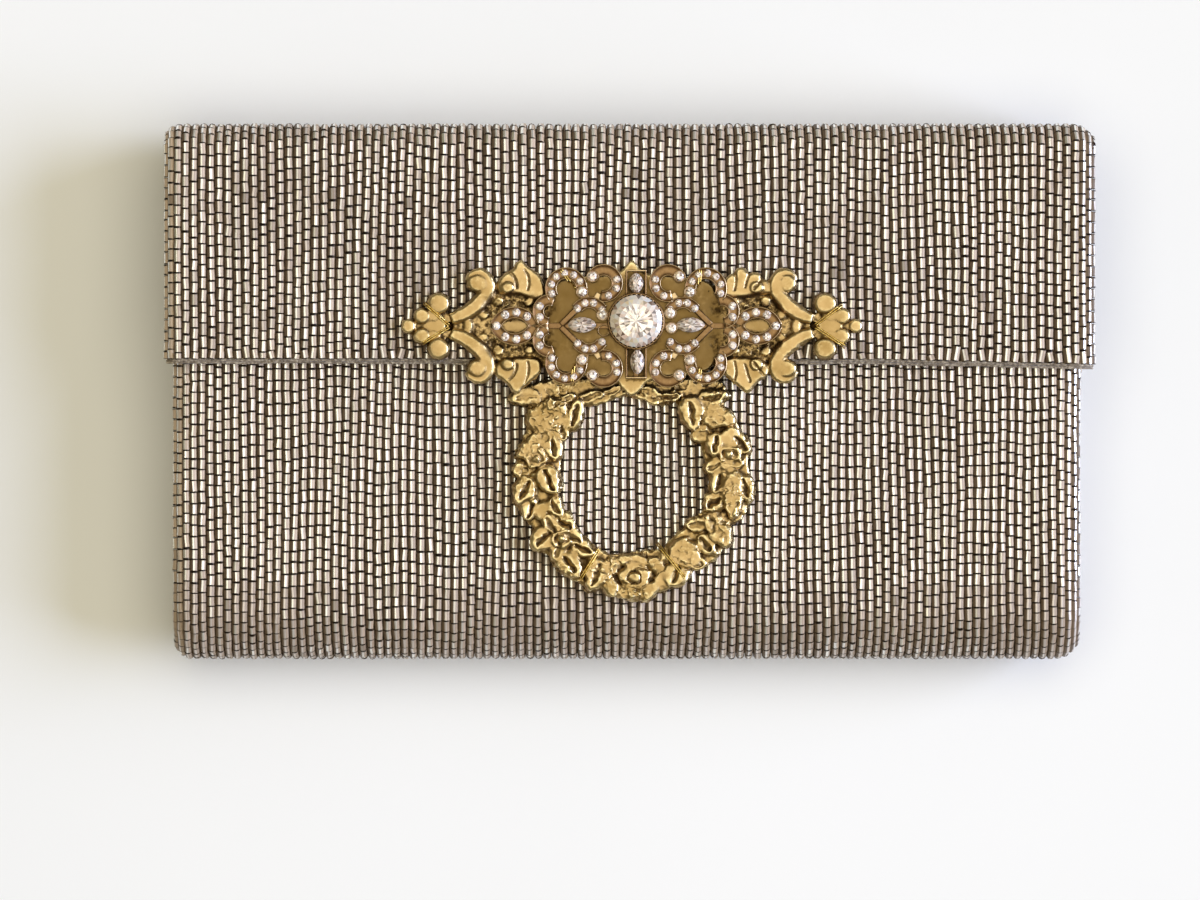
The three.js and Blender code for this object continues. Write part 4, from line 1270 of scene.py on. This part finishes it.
def whole_outline(quarter):
    """Outline that is alike in all four quarters."""
    upper = [*quarter, *((-x, y) for x, y in quarter[-2::-1])]
    return [*upper, *((x, -y) for x, y in upper[-2:0:-1])]


def crest_grooves():
    """Lines between the lobes of the four leaves, and the slopes down to the web beside them."""
    return [
        (depth, smooth_path([
            (CREST_PLACE[0] + side * x, CREST_PLACE[1] + upper * y, half) for x, y, half in groove
        ]))
        for side, upper in QUARTERS
        for depth, groove in (LEFT_GROOVES if side < 0 else RIGHT_GROOVES)
    ]


def add_scroll(bm, side, upper):
    """Flat scroll of a few strands side by side."""
    path = smooth_path([(side * x, upper * y, 0, half) for x, y, half in CREST_SCROLL])
    heading = np.gradient(path[:, :2], axis=0)
    heading /= np.linalg.norm(heading, axis=1)[:, None]
    aside = np.column_stack([-heading[:, 1], heading[:, 0]])
    for share in SCROLL_STRANDS:
        strand = path * (1, 1, 1, STRAND_RADIUS)
        strand[:, :2] += share * aside * path[:, 3:]
        add_bars(bm, [strand], 3, SCROLL_LIFT)


def paint_jewel_shadow(mesh):
    """Attribute of how far each point lies inside the jewel's painted shadow on the plate behind it, and one
    more, deeper painted shadow where it lies behind the frames of the upper and lower stones."""
    points, _, _ = mesh_arrays(mesh)
    away = np.abs(points[:, :2] - CREST_PLACE)
    parts = [most * np.clip(0.5 - (away - half).max(1) / JEWEL_SHADOW_FADE[0], 0, 1) for *half, most in JEWEL_SHADOW_HALVES]
    low = np.clip((CREST_SEAT + JEWEL_SHADOW_TOP - points[:, 2]) / JEWEL_SHADOW_FADE[1], 0, 1)
    aside = np.abs(points[:, :2] - JEWEL_PLACE)
    inside = (aside[:, 0] < FRAME_BAR[0]) & (aside[:, 1] < STONE_FRAMES[0][1])
    add_value(mesh, "dull", (np.max(parts, 0) + inside) * low)


def crest(material):
    bm = bmesh.new()
    add_plate(bm, [whole_outline(CREST_WEB)], CREST_WEB_HEIGHT, CREST_WEB_ROUNDING)
    x, *half = END_PLATE
    for outline in (whole_outline(BACK_PLATE), oval(x, 0, *half), oval(-x, 0, *half)):
        add_plate(bm, [outline], BACK_PLATE_HEIGHT, BACK_PLATE_ROUNDING)
    for side, upper in QUARTERS:
        for x, y, *half, height in CREST_BUTTONS:
            size = (2 * half[0], 2 * half[1], height - CREST_FOOT)
            add_leaf(bm, side * x, upper * y, CREST_FOOT, *size, 0, point=0)
        add_scroll(bm, side, upper)
        upper_leaf = LEFT_LEAF if side < 0 else RIGHT_LEAF
        outline = upper_leaf if upper > 0 else LOWER_LEAF
        add_plate(bm, [[(side * x, upper * y) for x, y in outline]], *CREST_LEAF)
    add_plate(bm, [UPPER_PEAK], *CREST_PEAK)
    add_plate(bm, [LOWER_PEAK], *CREST_PEAK)
    bmesh.ops.translate(bm, vec=(*CREST_PLACE, CREST_SEAT), verts=bm.verts)
    mesh = cast("crest_cast", bm, CREST_SEAT, CREST_WEAR, crest_grooves(), crest_holes())
    paint_jewel_shadow(mesh)
    return new_object("crest_cast", mesh, material, "brass", "crest")


# Wreath
def add_rose(bm):
    """Open rose at the foot of the wreath: outer petals, inner petals and a heart."""
    x, y = ROSE_PLACE
    for turn, away, length, width in ROSE_PETALS:
        angle = math.radians(turn)
        at = (x + ROSE_SPREAD[0] * away * math.cos(angle), y + ROSE_SPREAD[1] * away * math.sin(angle))
        add_leaf(bm, *at, ROSE_FOOT, length, width, PETAL_HEIGHT, turn + 90, PETAL_POINT)
    for size in ROSE_DISCS:
        add_leaf(bm, x, y, ROSE_FOOT, *size, 0, point=0)


def wreath_grooves():
    """Narrow hollows in the leaves that have one, and the gaps between the petals of the rose."""
    grooves = []
    for x, y, length, _, turn, hollow, _ in WREATH_LEAVES:
        if hollow > LEAST_HOLLOW:
            ahead = np.array((math.cos(math.radians(turn)), math.sin(math.radians(turn))))
            path = [(*((x, y) + ahead * along * length), half) for along, half in LEAF_SLOT]
            grooves.append((SLOT_DEPTH * hollow, smooth_path(path)))
    x, y = ROSE_PLACE
    for share, half, first, last, start, end in ROSE_GROOVES:
        turns = np.radians(np.linspace(start, end, GROOVE_STEPS))
        away = np.linspace(first, last, GROOVE_STEPS)
        across = x + ROSE_STRETCH * away * np.cos(turns)
        along = y + away * np.sin(turns)
        grooves.append((share, np.stack([across, along, np.full(GROOVE_STEPS, half)], 1)))
    return grooves


def wreath(material):
    bm = bmesh.new()
    add_plate(bm, [WREATH_OUTSIDE, WREATH_INSIDE], WREATH_BAND_HEIGHT, WREATH_BAND_ROUNDING)
    for x, y, length, width, turn, _, top in WREATH_LEAVES:
        size = (LEAF_SPREAD[0] * length, LEAF_SPREAD[1] * width, top - WREATH_FOOT)
        add_leaf(bm, x, y, WREATH_FOOT, *size, turn)
    bar, lift = RING_BAR
    turns = np.radians(np.arange(0, 361, RING_STEP))
    for x, y, radius in RING_HOLLOWS:
        ring = [(x + radius * math.cos(t), y + RING_SQUASH * radius * math.sin(t), 0, bar) for t in turns]
        add_bars(bm, [np.array(ring)], lift=lift)
    for x, y, radius, top in WREATH_BUTTONS:
        add_ball(bm, x, y, top / 2, (radius, radius, top / 2))
    for ridge in BOW_RIDGES:
        add_bars(bm, [smooth_path([(x, y, 0, radius) for x, y, radius in ridge])], lift=BOW_LIFT)
    add_rose(bm)
    bmesh.ops.translate(bm, vec=(0, 0, WREATH_SEAT), verts=bm.verts)
    mesh = cast("wreath_cast", bm, WREATH_SEAT, WREATH_WEAR, wreath_grooves())
    return new_object("wreath_cast", mesh, material, "brass", "wreath")


# Jewel
def closed_loop(bm, points):
    """Closed loop of edges through points."""
    verts = [bm.verts.new(point) for point in points]
    edges = [bm.edges.new((verts[i - 1], verts[i])) for i in range(len(verts))]
    return verts, edges


def add_ring(bm, centre, profile, steps, start=0, turn=360):
    """Profile of distances from the centre and heights, spun about it."""
    ahead_x, ahead_y = math.cos(math.radians(start)), math.sin(math.radians(start))
    points = [(centre[0] + away * ahead_x, centre[1] + away * ahead_y, up) for away, up in profile]
    verts, edges = closed_loop(bm, points)
    whole = turn == 360
    made = bmesh.ops.spin(
        bm, geom=verts + edges, cent=(*centre, 0), axis=(0, 0, 1), angle=math.radians(turn),
        steps=steps, use_merge=whole,
    )
    if not whole:
        bmesh.ops.holes_fill(bm, edges=edges)
        bmesh.ops.holes_fill(bm, edges=[e for e in made["geom_last"] if isinstance(e, bmesh.types.BMEdge)])


def add_block(bm, x, y, z, length, width, height, turn=0.0, rounding=BAR_ROUNDING):
    """Bar with softened edges, its foot at z."""
    made = bmesh.ops.create_cube(bm, size=1)["verts"]
    place = Matrix.Translation((x, y, z + height / 2)) @ Matrix.Rotation(math.radians(turn), 4, "Z")
    bmesh.ops.transform(bm, matrix=place @ Matrix.Diagonal((length, width, height, 1)), verts=made)
    edges = list({edge for vert in made for edge in vert.link_edges})
    bmesh.ops.bevel(bm, geom=edges, offset=rounding, affect="EDGES", segments=2, profile=0.5, material=-1)


def mirrored(points):
    """A place in each quarter."""
    return [(side * x, upper * y) for x, y in points for side, upper in QUARTERS]


def add_channels(bm):
    for x, y, radius, start, end, *_ in FRAME_ARCS:
        for side, upper in QUARTERS:
            first = start if side > 0 else 180 - start
            turn = (end - start) * side * upper
            first = first if upper > 0 else -first
            profile = [(radius + across, up) for across, up in CHANNEL]
            add_ring(bm, (side * x, upper * y), profile, CHANNEL_STEPS, first, turn)


def add_settings(bm):
    """Small round settings, and the bezel with its grains."""
    rim = [(ROUND_STONE_RADIUS + out, up) for out, up in SETTING_RIM]
    for place in (*mirrored(ROUND_SETTINGS), *HEART_SETTINGS, EMPTY_SETTING):
        add_ring(bm, place, rim, SETTING_STEPS)
    inner = BRILLIANT_RADIUS + BEZEL_GAP
    add_ring(bm, BEZEL_PLACE, [(inner + out, up) for out, up in BEZEL_RIM], BEZEL_STEPS)
    count, radius, height = BEZEL_GRAINS
    for turn in np.radians(np.arange(0, 360, 360 / count)):
        grain = (BEZEL_PLACE[0] + inner * math.cos(turn), BEZEL_PLACE[1] + inner * math.sin(turn))
        made = bmesh.ops.create_uvsphere(bm, u_segments=8, v_segments=5, radius=radius)["verts"]
        bmesh.ops.translate(bm, vec=(*grain, height), verts=made)


def add_stone_frames(bm):
    """Frames of the upper and lower stones, each with a bar under its stone."""
    x, width, height = FRAME_BAR
    for near, far in STONE_FRAMES:
        middle, length = (near + far) / 2, abs(far - near)
        for side in (1, -1):
            add_block(bm, side * x, middle, 0, width, length, height)
        add_block(bm, 0, far, 0, 2 * x + width, width, height)
        add_block(bm, 0, middle, 0, FRAME_SPINE[0], length, FRAME_SPINE[1])


def add_frame_bars(bm):
    """Spine, webs between the channels, and the bars that close the hearts."""
    add_block(bm, 0, 0, 0, *SPINE)
    for x, y, length, turn in FRAME_WEBS:
        for side, upper in QUARTERS:
            add_block(bm, side * x, upper * y, WEB_FOOT, length, *WEB_SECTION, side * upper * turn)
    x, y = np.mean(HEART_BAR, 0)
    run, rise = np.subtract(HEART_BAR[1], HEART_BAR[0])
    size = (math.hypot(run, rise), *HEART_SECTION)
    for side, upper in QUARTERS:
        turn = side * upper * math.degrees(math.atan2(rise, run))
        add_block(bm, side * x, upper * y, 0, *size, turn, HEART_ROUNDING)


def jewel_frame(material):
    bm = bmesh.new()
    add_channels(bm)
    add_settings(bm)
    add_stone_frames(bm)
    add_frame_bars(bm)
    bmesh.ops.recalc_face_normals(bm, faces=bm.faces)
    bmesh.ops.translate(bm, vec=(*JEWEL_PLACE, JEWEL_SEAT), verts=bm.verts)
    sort_faces(bm)
    mesh = mesh_from(bm, "jewel_mount")
    mark_hollows(mesh, MOUNT_REACH)
    return new_object("jewel_mount", mesh, material, "rose_gold", "jewel_frame")


def add_stone(bm, place, length, width, rings, segments, turn=0.0, point=0.0):
    """Cut stone: rings of share of the outline and height, from the girdle up to a peak over its table."""
    (share, height), *rest = rings
    verts = bmesh.ops.create_circle(bm, cap_ends=True, segments=segments, radius=share)["verts"]
    bottom = cap = verts[0].link_faces[0]
    every = list(verts)
    bmesh.ops.translate(bm, vec=(0, 0, height), verts=verts)
    for next_share, next_height in rest:
        grown = bmesh.ops.extrude_face_region(bm, geom=[cap], use_keep_orig=cap == bottom)["geom"]
        verts = [v for v in grown if isinstance(v, bmesh.types.BMVert)]
        cap = next(f for f in grown if isinstance(f, bmesh.types.BMFace))
        scale = next_share / share
        bmesh.ops.scale(bm, vec=(scale, scale, 1), verts=verts)
        bmesh.ops.rotate(bm, cent=(0, 0, 0), matrix=Matrix.Rotation(math.pi / segments, 3, "Z"), verts=verts)
        bmesh.ops.translate(bm, vec=(0, 0, next_height - height), verts=verts)
        share, height = next_share, next_height
        every += verts
    every += bmesh.ops.poke(bm, faces=[cap], offset=TABLE_PEAK)["verts"]
    for vert in every:
        bent = math.atan2(vert.co.y, vert.co.x)
        vert.co.y *= abs(math.sin(bent)) ** point if point else 1
    turned = Matrix.Rotation(math.radians(turn), 4, "Z") @ Matrix.Diagonal((length / 2, width / 2, 1, 1))
    bmesh.ops.transform(bm, matrix=Matrix.Translation(place) @ turned, verts=every)


def stone_piece(name, bm, material, seed, brightest, *replaced):
    """Faceted stones with a painted brightness, standing in for what each facet reflects, and a painted fire
    tint on every facet.
    """
    bmesh.ops.triangulate(bm, faces=bm.faces, quad_method="ALTERNATE")
    bmesh.ops.recalc_face_normals(bm, faces=bm.faces)
    sort_faces(bm)
    mesh = mesh_from(bm, name, smooth=False)
    rng = np.random.default_rng(SEED + seed)
    for key, most in (("spark", brightest), ("fire", 1)):
        values = (most * rng.random(len(mesh.polygons))).astype(np.float32)
        mesh.attributes.new(key, "FLOAT", "FACE").data.foreach_set("value", values)
    return new_object(name, mesh, material, "crystal", *replaced)


def channel_stones():
    """Places and radii of the small stones."""
    small = [
        (x + radius * math.cos(math.radians(turn)), y + radius * math.sin(math.radians(turn)), stone)
        for x, y, radius, _, _, stone, turns in FRAME_ARCS
        for turn in turns
    ]
    places = [(side * x, upper * y, stone) for x, y, stone in small for side, upper in QUARTERS]
    places += [(side * END_STONE[0], END_STONE[1], END_STONE_RADIUS) for side in (1, -1)]
    return places + [(*place, ROUND_STONE_RADIUS) for place in (*mirrored(ROUND_SETTINGS), *HEART_SETTINGS)]


def small_stones(material):
    bm = bmesh.new()
    for x, y, radius in channel_stones():
        height = CHANNEL_STONE_HEIGHT if radius < ROUND_STONE_RADIUS else ROUND_STONE_HEIGHT
        place = (JEWEL_PLACE[0] + x, JEWEL_PLACE[1] + y, JEWEL_SEAT + height)
        add_stone(bm, place, 2 * radius, 2 * radius, SMALL_CUT, SMALL_SIDES)
    stone_piece("channel_stones", bm, material, SMALL_SEED, SMALL_FLASH)


def side_stones(material):
    for index, (node, x, y, length, width, turn) in enumerate(SIDE_STONES):
        low, high = (np.array(corner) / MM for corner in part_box(node))
        rings = [(share, up * (high[2] - low[2])) for share, up in SIDE_CUT]
        place = (JEWEL_PLACE[0] + x, JEWEL_PLACE[1] + y, low[2])
        bm = bmesh.new()
        add_stone(bm, place, length, width, rings, SIDE_SIDES, turn, SIDE_POINT)
        stone_piece(node + "_cut", bm, material, SIDE_SEED + index, SIDE_FLASH, node)


def centre_stone(material):
    low, _ = (np.array(corner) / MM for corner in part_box("centre_stone"))
    place = (JEWEL_PLACE[0] + BEZEL_PLACE[0], JEWEL_PLACE[1] + BEZEL_PLACE[1], low[2])
    bm = bmesh.new()
    add_stone(bm, place, 2 * BRILLIANT_RADIUS, 2 * BRILLIANT_RADIUS, BRILLIANT_CUT, BRILLIANT_SIDES)
    stone_piece("centre_stone_cut", bm, material, CENTRE_SEED, CENTRE_FLASH, "centre_stone")


# Tie wires
def laid_wire(start, end, offset, tree, foot):
    """Path from one place to another over the surface below, with both ends turned down."""
    start, end = np.array(start), np.array(end)
    across = np.array([start[1] - end[1], end[0] - start[0]]) / math.dist(start, end) * offset
    heights = []
    flat = [start + (end - start) * share + across for share in np.linspace(0, 1, TIE_STEPS)]
    for x, y in flat:
        hit = tree.ray_cast(Vector((x, y, RAY_TOP)) * MM, Vector((0, 0, -1)))[0]
        heights.append(max(hit.z / MM, foot) if hit else foot)
    held = np.array([max(heights[max(0, i - TIE_HOLD):i + TIE_HOLD + 1]) for i in range(TIE_STEPS)])
    held += TIE_RADIUS * (1 - TIE_SINK)
    held[1:-1] = np.convolve(held, (0.25, 0.5, 0.25), "valid")
    held[0] = held[-1] = foot
    rows = [(*place, height, TIE_RADIUS) for place, height in zip(flat, held)]
    return smooth_path(rows, 2)


def tree_of(piece):
    points = [vert.co.copy() for vert in piece.data.vertices]
    return BVHTree.FromPolygons(points, [face.vertices[:] for face in piece.data.polygons])


def tie_wires(crest_piece, wreath_piece, mount_piece, material):
    bm = bmesh.new()
    groups = (
        (CREST_TIES, crest_piece, CREST_SEAT - TIE_ROOT),
        (WREATH_TIES, wreath_piece, WREATH_SEAT - TIE_ROOT),
        (JEWEL_TIES, mount_piece, JEWEL_SEAT - JEWEL_TIE_ROOT),
    )
    for ties, piece, foot in groups:
        tree = tree_of(piece)
        for start, end in ties:
            for offset in (-TIE_SPREAD, TIE_SPREAD):
                add_bars(bm, [laid_wire(start, end, offset, tree, foot)], 1)
    return new_object("tie_wires", mesh_from(bm, "tie_wires"), material, "brass")


# Hem
def hem_rows(rng):
    """Paths of x, y, z and radius of the threads that lie side by side below the last beads."""
    across = np.linspace(-HEM_REACH, HEM_REACH, HEM_STEPS)
    paths = []
    for row in range(HEM_ROWS):
        sway = np.interp(across, np.linspace(-1, 1, HEM_BENDS), rng.normal(0, HEM_SWAY, HEM_BENDS))
        along = LEG_ENDS[4] - HEM_THREADS + HEM_ROW_START + HEM_ROW_PITCH * row + sway
        lift = HEM_LIFT * (1 + row % 2) + rng.normal(0, HEM_LIFT_SPREAD, HEM_STEPS)
        points, outward, _ = panel_surface(np.minimum(along, LEG_ENDS[4]), across, HEM_DEPTH)
        past_end = np.maximum(0, along - LEG_ENDS[4])
        points = points - (0, 1, 0) * past_end[:, None] + outward * lift[:, None]
        paths.append(np.column_stack([points, rng.uniform(*HEM_RADIUS, HEM_STEPS)]))
    return paths


def loose_fibres(rng):
    """Paths of a few fine fibres that curl out below the hem."""
    above, depth = FIBRE_ROOT
    share = np.linspace(0, 1, FIBRE_POINTS)
    paths = []
    for start in rng.uniform(-FIBRE_REACH, FIBRE_REACH, FIBRES):
        places = start + rng.normal(0, FIBRE_RUN) * share + rng.normal(0, FIBRE_CURL, FIBRE_POINTS)
        drop = np.abs(rng.normal(*FIBRE_DROP)) * np.sin(share * rng.uniform(*FIBRE_BEND))
        points, outward, _ = panel_surface(LEG_ENDS[4] - above, places, depth)
        points = points + outward * rng.uniform(*FIBRE_LIFT) - (0, 1, 0) * drop[:, None]
        paths.append(np.column_stack([points, np.full(FIBRE_POINTS, FIBRE_RADIUS)]))
    return paths


def hem_threads(material):
    rng = np.random.default_rng(SEED + HEM_SEED)
    bm = bmesh.new()
    add_bars(bm, [*hem_rows(rng), *loose_fibres(rng)], 1)
    return new_object("hem_threads", mesh_from(bm, "hem_threads"), material, "beaded_cloth", "beaded_panel")


# Stage
def camera_and_stage():
    camera = bpy.data.cameras.new("camera")
    camera.sensor_width = SENSOR_WIDTH
    view_width = PHOTO_SIZE[0] * MM_PER_PIXEL
    camera.lens = SENSOR_WIDTH * CAMERA_HEIGHT / view_width
    eye = bpy.data.objects.new("camera", camera)
    eye.location = Vector((*VIEW_CENTRE, FLAP_THICKNESS + CAMERA_HEIGHT)) * MM
    bpy.context.scene.collection.objects.link(eye)
    bpy.context.scene.camera = eye
    bm = bmesh.new()
    bmesh.ops.create_grid(bm, x_segments=1, y_segments=1, size=FLOOR_REACH)
    floor = bpy.data.objects.new("floor", mesh_from(bm, "floor"))
    floor.data.materials.append(white_table())
    bpy.context.scene.collection.objects.link(floor)


def area_light(name, place, size, power, tint):
    """Round light that faces the middle of the bag's foot."""
    light = bpy.data.lights.new(name, "AREA")
    light.shape = "DISK"
    light.size = size
    light.energy = power
    light.color = tint
    lamp = bpy.data.objects.new(name, light)
    lamp.location = place
    lamp.rotation_euler = (-Vector(place)).to_track_quat("-Z", "Y").to_euler()
    bpy.context.scene.collection.objects.link(lamp)


def lighting():
    scene = bpy.context.scene
    scene.view_settings.view_transform = "Standard"
    world = bpy.data.worlds.new("studio")
    scene.world = world
    world.use_nodes = True
    background = world.node_tree.nodes["Background"]
    background.inputs["Color"].default_value = WORLD_COLOUR
    background.inputs["Strength"].default_value = WORLD_STRENGTH
    for light in LIGHTS:
        area_light(*light)


camera_and_stage()
lighting()
panel_cloth()
panel_beads()
hem_threads(hem_thread())
gusset_cloth = gusset_silk()
gusset("gusset_left", -1, EDGE_ROLL[0], gusset_cloth)
gusset("gusset_right", 1, EDGE_ROLL[1], gusset_cloth)
brass = antique_brass()
crest_piece = crest(brass)
wreath_piece = wreath(brass)
mount_piece = jewel_frame(rose_gold())
crystal = cut_crystal()
small_stones(crystal)
side_stones(crystal)
centre_stone(crystal)
tie_wires(crest_piece, wreath_piece, mount_piece, tie_gold())
